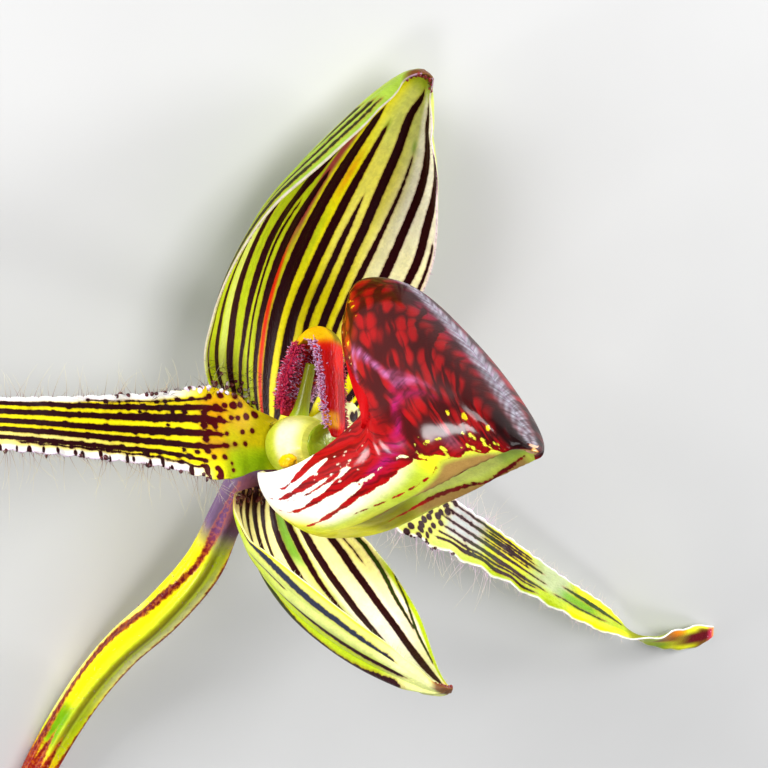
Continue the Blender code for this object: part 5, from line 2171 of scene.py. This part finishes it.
    def red_depth(self, chance: np.random.Generator, folded: Sheet) -> Array:
        """Work out the red, with its streaks and dashes and the pale flecks in it.

        Args:
            chance: where the flecks' unevenness comes from.
            folded: the outer skin, both halves counted alike.

        Returns:
            How deep each point lies in the red, in mm.
        """
        long_dashes, long_flecks = self.stretches
        depth = stripe_depth(folded, self.streaks, self.streak_taper)
        height, along, beside = self.ripple
        ripple = height * np.sin(along * folded.shares * folded.length + beside * folded.across)
        depth = np.maximum(depth + ripple, spot_depth(folded, self.dashes, long_dashes))
        start = smooth(self.red, folded.shares[:, 0])
        height, along = self.fingers
        fingers = height * np.sin(folded.shares * along) * ramp(folded.shares, self.fingers_span)
        depth = np.maximum(depth, (folded.across - start) * folded.reach + fingers)
        depth = np.maximum(depth, stripe_depth(folded, (self.groove_line,)))
        flecks = list(self.flecks)
        for count, *spans in self.fleck_fields:
            flecks += [tuple(chance.uniform(*span) for span in spans) for _ in range(count)]
        return np.minimum(depth, -spot_depth(folded, tuple(flecks), long_flecks))

    def build(self, bench: Bench) -> None:
        """Make the slipper.

        Args:
            bench: what it is made with.
        """
        sheet, closed = self.sheet()
        outward = -sheet.normals(closed)
        edge = np.abs(sheet.across) * (1 - rise(sheet.shares, *self.rim_span))
        inside = 1 - rise(edge, self.rim_start, 1.0)
        depth = self.rim_thickness + (self.thickness - self.rim_thickness) * inside
        inner = sheet.points - outward * depth[..., None]
        folded = sheet.folded()
        stain = self.stain.over(folded)
        painted_sheen = np.zeros(sheet.shape)
        place = sheet.lamina()
        beside, sway, along = self.sheen_turns
        streaks = np.sin(beside * np.abs(place[..., 0]) + sway * np.sin(along * place[..., 1]))
        strength = self.sheen_strength[0] + self.sheen_strength[1] * streaks
        # Lay the bands of painted sheen into the red's colour; the net of veins gives way under them
        for hue, band in self.painted_sheens:
            glow = rise(stripe_depth(folded, (band,)), *self.sheen_edge) * strength
            stain = stain * (1 - glow[..., None]) + hue.linear * glow[..., None]
            painted_sheen = np.maximum(painted_sheen, glow)
        along, beside = self.netting_spans
        netting = rise(sheet.shares, *along) * rise(folded.across, *beside) * (1 - painted_sheen)
        red = self.red_depth(bench.chance, folded)
        values = {"ground": self.ground.over(folded), "stain": stain, "netting": netting, "pigment": red}
        values["lamina"] = place
        inner_values = values | {"ground": self.lining.over(sheet), "pigment": red - self.lining_fade}
        draft = Draft()
        draft.add_shell(sheet.points, inner, values, inner_values, closed, inside_out=True)
        bench.put(draft, "pouch_skin", ("pouch skin", "pouch lining"), "pouch")


@dataclass
class Column:
    """The column with its staminode, stigma, anthers and the stalk under the staminode.

    Attributes:
        stations: the column's rows of share, forward, up and radius.
        stalk: the same of the stalk.
        shield: the staminode's rows of share, forward, up, half width and cup in degrees.
        shield_grid: rows and columns of its mesh.
        body_grid: rings of the column and the stalk, and the points of each.
        rounded_grid: the same of the stigma and the anthers.
        body_reach: half the way round the column and the stalk, in mm.
        rounded_reach: the same of the stigma and the anthers.
        pole: the angle at which their first and last rings lie, in radians.
        shield_thickness: inside the staminode, in mm.
        shield_margin: at its very edge, in mm.
        shield_edge: it thins over its length divided by the first at each end, and from the second across.
        speckle_turns: how fast its speckles turn along and across, and across and along.
        speckle: the height of the speckles, how far under the skin their middle lies, and how much further at
            the knee, in mm.
        knee_span: where the knee is.
        rooting: how deep its hairs stand, as a share of the half thickness.
        stigma_radius: of the stigma, in mm.
        stigma_thickness: of the stigma, in mm.
        seat_gap: how far it stands off the column's end, in mm.
        anther_centre: the left anther's place.
        anther_radii: its half sizes forward, sideways and upward, in mm.
        body_coat: the column's colours, with an ivory patch on its near side that is partly its pale skin and
            partly a painted highlight.
        stalk_coat: the stalk's colours.
        shield_coat: the staminode's colours.
        stigma_coat: the stigma's colours, its lower half darkened olive as painted shade.
        anther_coat: the anthers' colours.
        stigma_lumps: the heights of its coarse and fine lumps, as shares of the radius.
        anther_lumps: the same of the anthers.
        coarse_turns: how fast the coarse lumps turn round and along, and along alone.
        fine_turns: how fast the fine lumps turn round and along.
        rounded_share: how much of its half sizes a body fills at its highest lumps.
        shield_tufts: the staminode's hairs.
    """

    stations: tuple = (
        (0.00, 3.4, -1.1, 4.2),
        (0.20, 5.2, -1.1, 4.9),
        (0.60, 8.6, -1.2, 4.8),
        (1.00, 12.0, -1.8, 3.8),
    )
    stalk: tuple = (
        (0.00, 6.0, 1.5, 2.2),
        (0.35, 7.6, 4.6, 1.4),
        (0.70, 8.8, 8.4, 1.0),
        (1.00, 10.0, 12.4, 0.9),
    )
    shield: tuple = (
        (0.00, 4.9, 4.25, 2.2, 12),
        (0.12, 5.4, 7.9, 3.2, 34),
        (0.28, 7.2, 13.0, 4.0, 50),
        (0.40, 9.6, 16.6, 4.4, 58),
        (0.50, 12.4, 17.9, 4.4, 62),
        (0.60, 14.8, 16.0, 3.9, 56),
        (0.74, 15.8, 10.4, 2.8, 44),
        (0.88, 16.2, 4.2, 2.5, 36),
        (0.96, 16.4, 0.6, 2.0, 20),
        (1.00, 16.4, -1.2, 1.0, 8),
    )
    shield_grid: tuple[int, int] = (130, 44)
    body_grid: tuple[int, int] = (40, 64)
    rounded_grid: tuple[int, int] = (28, 40)
    body_reach: float = 14.0
    rounded_reach: float = 4.0
    pole: float = 0.04
    shield_thickness: float = 1.1
    shield_margin: float = 0.4
    shield_edge: Pair = (12, 0.6)
    speckle_turns: Span = (47, 9, 31, 11)
    speckle: Triple = (0.5, 0.5, 1.5)
    knee_span: Span = (0.38, 0.42, 0.62, 0.66)
    rooting: float = 0.8
    stigma_radius: float = 3.6
    stigma_thickness: float = 1.6
    seat_gap: float = 0.3
    anther_centre: Triple = (10.0, 5.0, -5.1)
    anther_radii: Triple = (2.0, 1.4, 1.4)
    body_coat: Coat = Coat(Hue.PALE_GREEN, (
        (Hue.YELLOW, ALL, ALL, 0.35),
        (Hue.LIME, before(0.2, 0.5), ALL, 0.7),
        # Partly the column's pale skin, partly a painted highlight: ivory on the near side
        (Hue.IVORY, (0.3, 0.5, 0.7, 1.0), (-0.4, -0.1, 0.1, 0.4), 0.8),
        (Hue.MOSS, after(0.5, 0.9), near(-0.5, 0.3), 0.5),
    ))
    stalk_coat: Coat = Coat(Hue.MOSS, (
        (Hue.LIME, before(0.2, 0.5), ALL, 0.5),
        (Hue.OLIVE, after(0.2, 0.6), ALL, 0.7),
    ))
    shield_coat: Coat = Coat(Hue.EMBER, (
        (Hue.PINK, before(0.36, 0.42), before(-0.4, -0.1), 0.8),
        (Hue.GOLD, (0.03, 0.06, 0.16, 0.24), (0.0, 0.3, 0.9, 1.2), 0.9),
        (Hue.LIME, (0.03, 0.06, 0.14, 0.2), after(0.3, 0.6), 0.7),
        (Hue.GOLD, (0.37, 0.41, 0.60, 0.65), before(0.3, 0.6), 1.0),
        (Hue.OLIVE, (0.43, 0.48, 0.61, 0.66), after(-0.2, 0.15), 0.9),
        (Hue.SCARLET, after(0.61, 0.68), ALL, 0.8),
        (Hue.CRIMSON, after(0.62, 0.7), before(-0.3, 0.0), 0.7),
        (Hue.CRIMSON, (0.7, 0.82, 0.93, 0.97), (-0.1, 0.05, 0.4, 0.7), 0.8),
        (Hue.PLUM, after(0.64, 0.72), after(0.45, 0.7), 0.4),
        (Hue.GOLD, (0.90, 0.93, 0.96, 0.98), before(-0.2, 0.2), 0.6),
    ))
    stigma_coat: Coat = Coat(Hue.MOSS, (
        # Painted shade: darker olive over the stigma's lower half
        (Hue.OLIVE, ALL, after(0.0, 0.6), 0.5),
        (Hue.LIME, before(0.1, 0.4), ALL, 0.4),
    ))
    anther_coat: Coat = Coat(Hue.GOLD, (
        (Hue.UMBER, ALL, near(0.5, 0.3), 0.7),
        (Hue.YELLOW, ALL, near(-0.3, 0.3), 0.7),
    ))
    stigma_lumps: Pair = (0.0, 0.03)
    anther_lumps: Pair = (0.05, 0.05)
    coarse_turns: Triple = (5, 3, 7)
    fine_turns: Pair = (11, 13)
    rounded_share: float = 0.98
    shield_tufts: tuple[Tuft, ...] = tuple(
        Tuft(count, shares, places, length, (0.07, 0.12), hues, lean, profile=Profile.CLUB, sides=4, steps=5)
        for count, shares, places, length, hues, lean in (
            (1100, (0.03, 0.37), (-1.0, 1.0), (0.5, 1.2), (Hue.PLUM, Hue.PINK), 0.1),
            (700, (0.10, 0.37), (-1.0, 1.0), (0.6, 1.3), (Hue.MAGENTA, Hue.LILAC), 0.1),
            (600, (0.04, 0.40), (-1.0, -0.8), (0.6, 1.5), (Hue.MAGENTA, Hue.PINK), 0.7),
            (300, (0.10, 0.40), (0.85, 1.0), (0.6, 1.4), (Hue.MAGENTA, Hue.LILAC), 0.8),
            (600, (0.60, 0.97), (-1.0, -0.72), (0.45, 1.0), (Hue.MAGENTA, Hue.LILAC), 0.6),
            (460, (0.66, 0.97), (0.76, 1.0), (0.45, 1.0), (Hue.PLUM, Hue.PINK), 0.7),
        )
    )

    def build(self, bench: Bench) -> None:
        """Make the pieces.

        Args:
            bench: what they are made with.
        """
        self.build_rings(bench, "column_body", self.stations, self.body_coat, "column")
        self.build_rings(bench, "staminode_stalk", self.stalk, self.stalk_coat)
        self.build_shield(bench)
        end = np.array(self.stations[-1][1:3])
        outward = unit(end - np.array(self.stations[-2][1:3]))
        seat = end + outward * (self.seat_gap + self.stigma_thickness / 2)
        radii = (self.stigma_thickness / 2, self.stigma_radius, self.stigma_radius)
        sheet = self.rounded((seat[0], 0.0, seat[1]), outward, radii, self.stigma_lumps)
        self.put_skin(bench, "stigma_disc", sheet, self.stigma_coat, self.stigma_coat, "stigma")
        forward, sideways, up = self.anther_centre
        ahead = np.array([1.0, 0.0])
        for name, side_sign in (("anther_right", -1), ("anther_left", 1)):
            centre = (forward, side_sign * sideways, up)
            sheet = self.rounded(centre, ahead, self.anther_radii, self.anther_lumps)
            self.put_skin(bench, f"{name}_pollen", sheet, self.anther_coat, self.anther_coat, name)

    def build_rings(self, bench: Bench, name: str, stations: tuple, coat: Coat, node: str = "") -> None:
        """Make a waxy round body along a path.

        Args:
            bench: what it is made with.
            name: the piece's name.
            stations: rows of share, forward, up and radius.
            coat: its colours.
            node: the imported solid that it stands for, if any.
        """
        rows, sides = self.body_grid
        shares = np.linspace(0, 1, rows + 1)
        turn = np.linspace(-1, 1, sides, endpoint=False)[None, :]
        reach = np.full((rows + 1, 1), self.body_reach)
        sheet = Sheet(ring_path(stations, shares, sides), shares[:, None], turn, reach)
        self.put_skin(bench, name, sheet, coat, Coat(Hue.MOSS), node)

    @staticmethod
    def put_skin(bench: Bench, name: str, sheet: Sheet, coat: Coat, stain: Coat, node: str) -> None:
        """Make a piece of one closed skin without markings.

        Args:
            bench: what it is made with.
            name: its name.
            sheet: its rings.
            coat: its colours.
            stain: the colours of markings, which the finish reads too.
            node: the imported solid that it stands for, if any.
        """
        draft = Draft()
        draft.add_rings(sheet.points, painted(sheet, coat, stain, BARE))
        bench.put(draft, name, ("column skin",), node)

    def build_shield(self, bench: Bench) -> None:
        """Make the staminode, which arches over the column, with its crowded hairs.

        Args:
            bench: what it is made with.
        """
        shares, place = grid_lines(self.shield_grid)
        forward, up, half_width, cup = smooth(self.shield, shares).T
        straight = np.zeros_like(shares)
        points = cupped(in_plane(forward, up), half_width, np.radians(cup), straight, (0, 1, 0), place)
        sheet = Sheet(points, shares[:, None], place, half_width[:, None])
        half = sheet.thinned(self.shield_thickness, self.shield_margin, *self.shield_edge) / 2
        offset = sheet.normals() * half[..., None]
        turns = self.speckle_turns
        speckle = np.sin(turns[0] * sheet.shares + turns[1] * place)
        speckle = speckle * np.sin(turns[2] * place + turns[3] * sheet.shares)
        height, sunk, deeper = self.speckle
        pigment = speckle * height - sunk - deeper * ramp(sheet.shares, self.knee_span)
        values = painted(sheet, self.shield_coat, Coat(Hue.PLUM), pigment)
        draft = Draft()
        draft.add_shell(points + offset, points - offset, values, values)
        bench.put(draft, "staminode_shield", ("staminode skin", "staminode skin"), "staminode")
        bench.sow("staminode_hairs", sheet, self.shield_tufts, "hair", "staminode", half * self.rooting)

    def rounded(self, centre: Triple, ahead: Array, radii: Triple, lumps: Pair) -> Sheet:
        """Shape a rounded body with a lumpy skin.

        Args:
            centre: its middle.
            ahead: its forward direction in the middle plane, forward and up.
            radii: its half sizes forward, sideways and upward.
            lumps: the heights of its coarse and fine lumps, as shares of the radius.

        Returns:
            Its rings.
        """
        rows, sides = self.rounded_grid
        forward, upward = np.array([ahead[0], 0, ahead[1]]), np.array([-ahead[1], 0, ahead[0]])
        lat = np.linspace(self.pole, math.pi - self.pole, rows)[:, None]
        lon = np.linspace(0, 2 * math.pi, sides, endpoint=False)[None, :]
        turns, fine_turns = self.coarse_turns, self.fine_turns
        coarse = lumps[0] * np.sin(turns[0] * lon + turns[1] * lat) * np.sin(turns[2] * lat)
        fine = lumps[1] * np.cos(fine_turns[0] * lon) * np.sin(fine_turns[1] * lat)
        swell = (1 + coarse - fine) * (self.rounded_share - lumps[0] - lumps[1])
        out = np.sin(lat) * swell
        points = np.array(centre) - (np.cos(lat) * swell * radii[0])[..., None] * forward
        points = points + (out * np.cos(lon) * radii[1])[..., None] * np.cross(upward, forward)
        points = points + (out * np.sin(lon) * radii[2])[..., None] * upward
        reach = np.full((rows, 1), self.rounded_reach)
        return Sheet(points, np.linspace(0, 1, rows)[:, None], lon / math.pi - 1, reach)


@dataclass
class Stem:
    """The cut stem with the ribbed ovary: yellow between red-brown bands.

    Attributes:
        stations: rows of share, forward, up and radius.
        bands: rows of share, place round the stem and half width in mm of each red-brown band.
        coat: the colours between them.
        stain: the colours of the bands.
        tufts: the short hairs all over.
        ridges: how many ridges it has.
        ridge_share: their height, as a share of the radius.
        ridge_end: the share at which they end.
        ridge_fade: the share over which they fade there.
        band_taper: how fast the bands narrow past their ends, in mm for each mm.
        reach: half the way round it, in mm.
        grid: its rings, and the points of each.
    """

    stations: tuple = (
        (0.00, -66.0, -56.5, 2.85),
        (0.10, -60.4, -49.4, 2.95),
        (0.22, -51.8, -40.6, 3.1),
        (0.40, -39.2, -31.4, 3.3),
        (0.55, -26.6, -25.2, 3.4),
        (0.68, -16.8, -18.6, 3.3),
        (0.80, -11.2, -11.2, 3.0),
        (0.89, -6.0, -4.8, 3.3),
        (0.95, -1.8, -1.5, 4.3),
        (0.98, 0.3, -1.0, 4.5),
        (1.00, 1.6, -1.0, 3.7),
    )
    ridges: int = 6
    ridge_share: float = 0.09
    ridge_end: float = 0.9
    ridge_fade: float = 0.1
    band_taper: float = 0.1
    reach: float = 10.0
    grid: tuple[int, int] = (260, 96)
    bands: tuple[Stripe, ...] = (
        ((-0.02, -0.49, 2.4), (0.09, -0.49, 1.6), (0.18, -0.49, 0.9), (0.45, -0.49, 0.8), (0.58, -0.55, 0.55),
         (0.70, -0.68, 0.5), (0.78, -0.70, 1.0)),
        ((-0.02, -0.08, 3.0), (0.09, -0.08, 1.8), (0.20, -0.08, 1.2), (0.48, -0.10, 1.1), (0.60, 0.04, 0.6),
         (0.70, 0.16, 0.5), (0.78, 0.20, 1.0)),
        ((-0.02, 0.70, 3.0), (0.09, 0.72, 1.6), (0.45, 0.72, 1.0), (0.70, 0.70, 0.8)),
        ((-0.02, 0.35, 2.2), (0.07, 0.36, 1.3), (0.14, 0.36, 0.3)),
        ((-0.02, -1.0, 2.2), (0.07, -0.97, 1.4), (0.14, -0.97, 0.3)),
        ((-0.02, 1.0, 2.2), (0.07, 1.0, 1.2), (0.12, 1.0, 0.2)),
        ((-0.02, -0.28, 2.2), (0.06, -0.28, 1.0), (0.12, -0.28, 0.2)),
        ((-0.02, 0.17, 2.2), (0.08, 0.17, 1.4), (0.16, 0.17, 0.2)),
        ((-0.02, -0.77, 2.2), (0.08, -0.77, 1.4), (0.14, -0.77, 0.2)),
    )
    coat: Coat = Coat(Hue.YELLOW, (
        (Hue.LIME, (0.10, 0.14, 0.2, 0.3), ALL, 0.7),
        (Hue.GREEN, (0.12, 0.15, 0.19, 0.24), (-0.95, -0.9, -0.7, -0.6), 0.9),
        (Hue.GREEN, (0.12, 0.17, 0.21, 0.26), (0.0, 0.05, 0.25, 0.3), 0.9),
        (Hue.CREAM, (0.16, 0.2, 0.5, 0.56), (-0.42, -0.38, -0.22, -0.16), 0.3),
        (Hue.LIME, (0.14, 0.2, 0.72, 0.8), (0.22, 0.28, 0.55, 0.62), 0.8),
        (Hue.UMBER, (0.10, 0.16, 0.70, 0.76), (0.27, 0.32, 0.38, 0.44), 0.65),
        (Hue.PINE, (0.10, 0.16, 0.70, 0.76), (-0.99, -0.95, -0.9, -0.86), 0.8),
        (Hue.CREAM, (0.2, 0.4, 0.6, 0.75), (0.46, 0.54, 0.62, 0.68), 0.5),
        (Hue.ORANGE, before(0.08, 0.14), ALL, 0.7),
        (Hue.HEATHER, after(0.71, 0.79), ALL, 0.95),
        (Hue.ROSE, (0.76, 0.82, 0.9, 0.94), (0.1, 0.3, 0.6, 0.8), 0.5),
        (Hue.ROSE, (0.76, 0.82, 0.9, 0.94), (-0.8, -0.6, -0.5, -0.3), 0.5),
        (Hue.PLUM, after(0.93, 0.97), ALL, 0.5),
    ))
    stain: Coat = Coat(Hue.RUST, (
        (Hue.WINE, (0.1, 0.16, 0.66, 0.74), ALL, 0.75),
        (Hue.HEATHER, after(0.72, 0.80), ALL, 0.8),
    ))
    tufts: tuple[Tuft, ...] = (
        Tuft(500, (0.02, 0.9), (-1.0, 0.97), (0.4, 0.9), (0.025, 0.04), (Hue.PLUM, Hue.LILAC), face=1,
             steps=3),
    )

    def build(self, bench: Bench) -> None:
        """Make the stem and its hairs.

        Args:
            bench: what they are made with.
        """
        rows, sides = self.grid
        shares = np.linspace(0, 1, rows + 1)
        turn = np.linspace(0, 2 * math.pi, sides, endpoint=False)
        fade = np.clip((self.ridge_end - shares) / self.ridge_fade, 0, 1)
        ribs = 1 + self.ridge_share * fade[:, None] * np.cos(self.ridges * turn)[None, :]
        rings = ring_path(self.stations, shares, sides, ribs)
        reach = np.full((rows + 1, 1), self.reach)
        sheet = Sheet(rings, shares[:, None], (turn / math.pi - 1)[None, :], reach)
        pigment = stripe_depth(sheet, self.bands, self.band_taper)
        draft = Draft()
        draft.add_rings(rings, painted(sheet, self.coat, self.stain, pigment))
        bench.put(draft, "stem_skin", ("stem skin",), "stem")
        bench.sow("stem_hairs", sheet, self.tufts, "hair", "stem")


# The studio


@dataclass(frozen=True)
class Viewpoint:
    """Where the picture is taken from, in the flower's frame.

    Attributes:
        azimuth: how far round to the flower's right, in degrees.
        elevation: how far up, in degrees.
        distance: from the flower's middle, in mm.
        pixel: the size of a pixel there, in mm.
        picture: the picture's width in pixels.
        middle: the pixel at which the flower's middle lies.
    """

    azimuth: float = 45.0
    elevation: float = -14.0
    distance: float = 400.0
    pixel: float = 0.17
    picture: int = 768
    middle: Pair = (270.0, 445.0)

    def axes(self) -> tuple[Array, Array, Array]:
        """Work out the picture's directions.

        Returns:
            The directions to the right, up and back towards the viewer.
        """
        turn, tilt = math.radians(self.azimuth), math.radians(self.elevation)
        back = np.array([math.cos(turn) * math.cos(tilt), -math.sin(turn) * math.cos(tilt), math.sin(tilt)])
        right = np.array([math.sin(turn), math.cos(turn), 0.0])
        return right, np.cross(back, right), back

    def place(self, right: float, up: float, back: float) -> Array:
        """Find a point from the middle of the picture.

        Args:
            right: how far right it lies, in mm.
            up: how far up.
            back: how far back towards the viewer.

        Returns:
            The point in the flower's frame.
        """
        axes = self.axes()
        half = self.picture / 2
        right = right + (half - self.middle[0]) * self.pixel
        up = up + (self.middle[1] - half) * self.pixel
        return axes[0] * right + axes[1] * up + axes[2] * back

    def lens(self, sensor: float) -> float:
        """The focal length that gives the pixel its size, for a sensor of the given width."""
        return sensor * self.distance / (self.picture * self.pixel)


@dataclass(frozen=True)
class Softbox:
    """A square lamp.

    Attributes:
        name: its name.
        place: right, up and back of the picture's middle, in mm.
        size: its width, in mm.
        power: in watts.
    """

    name: str
    place: Triple
    size: float
    power: float


@dataclass
class Studio:
    """The surface, the lamps and the camera.

    Attributes:
        view: where the picture is taken from.
        softboxes: the lamps.
        ambient: the strength of the light from all round.
        ambient_tone: its colour.
        floor_size: the width of the surface, in m.
        sensor: the width of the camera's sensor, in mm.
    """

    view: Viewpoint = field(default_factory=Viewpoint)
    softboxes: tuple[Softbox, ...] = (
        Softbox("key", (-380, 300, 560), 300, 5.4),
        Softbox("fill", (420, 60, 620), 420, 3.9),
        Softbox("front", (-90, -420, 480), 170, 0.8),
        Softbox("gloss", (-500, -150, 240), 90, 1.1),
        Softbox("rim", (640, 140, -60), 200, 5.0),
    )
    ambient: float = 0.15
    ambient_tone: Span = (0.95, 0.97, 1.0, 1.0)
    floor_size: float = 6.0
    sensor: float = 36.0

    def build(self, bench: Bench) -> None:
        """Set up the studio round the flower.

        Args:
            bench: what the flower is made with.
        """
        scene = bpy.context.scene
        scene.view_settings.view_transform = "Standard"
        matrix = bench.placement.matrix()
        self.add_camera(matrix)
        for box in self.softboxes:
            self.add_softbox(box, matrix)
        world = bpy.data.worlds.new("studio")
        world.use_nodes = True
        shade = world.node_tree.nodes["Background"]
        shade.inputs["Color"].default_value = self.ambient_tone
        shade.inputs["Strength"].default_value = self.ambient
        scene.world = world
        self.add_floor(bench)

    def add_camera(self, matrix: Matrix) -> None:
        """Add the camera, at the photographed angle to the flower.

        Args:
            matrix: from the flower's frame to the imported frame.
        """
        data = bpy.data.cameras.new("camera")
        data.sensor_width = self.sensor
        data.lens = self.view.lens(self.sensor)
        data.clip_start = 10 * MM
        camera = placed("camera", data)
        turn = matrix.to_3x3().normalized() @ Matrix([Vector(axis) for axis in self.view.axes()]).transposed()
        place = matrix @ Vector(self.view.place(0, 0, self.view.distance))
        camera.matrix_world = Matrix.Translation(place) @ turn.to_4x4()
        bpy.context.scene.camera = camera

    def add_softbox(self, box: Softbox, matrix: Matrix) -> None:
        """Add one lamp, aimed at the middle of the picture.

        Args:
            box: the lamp.
            matrix: from the flower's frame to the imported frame.
        """
        data = bpy.data.lights.new(box.name, "AREA")
        data.size = box.size * MM
        data.energy = box.power
        lamp = placed(box.name, data)
        lamp.location = matrix @ Vector(self.view.place(*box.place))
        aim = matrix @ Vector(self.view.place(0, 0, 0))
        lamp.rotation_euler = (aim - lamp.location).to_track_quat("-Z", "Y").to_euler()
        log.info("lamp %s at %s", box.name, [round(part, 3) for part in lamp.location])

    def add_floor(self, bench: Bench) -> None:
        """Add the plain pale surface.

        Args:
            bench: what holds its finish.
        """
        half = self.floor_size / 2
        mesh = bpy.data.meshes.new("surface")
        corners = [(-half, -half, 0), (half, -half, 0), (half, half, 0), (-half, half, 0)]
        mesh.from_pydata(corners, [], [(0, 1, 2, 3)])
        mesh.materials.append(bench.finishes["pale surface"])
        placed("surface", mesh)


def main() -> None:
    """Build the flower's pieces in order, then the studio."""
    logging.basicConfig(level=logging.INFO, format="%(message)s")
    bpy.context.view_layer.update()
    bench = Bench()
    bench.prepare()
    for piece in (Stem(), DORSAL_SEPAL, SYNSEPAL, RIGHT_PETAL, LEFT_PETAL, Lip(), Column(), Studio()):
        piece.build(bench)
    log.info("%d triangles in all", bench.triangles)


if __name__ == "__main__":
    main()
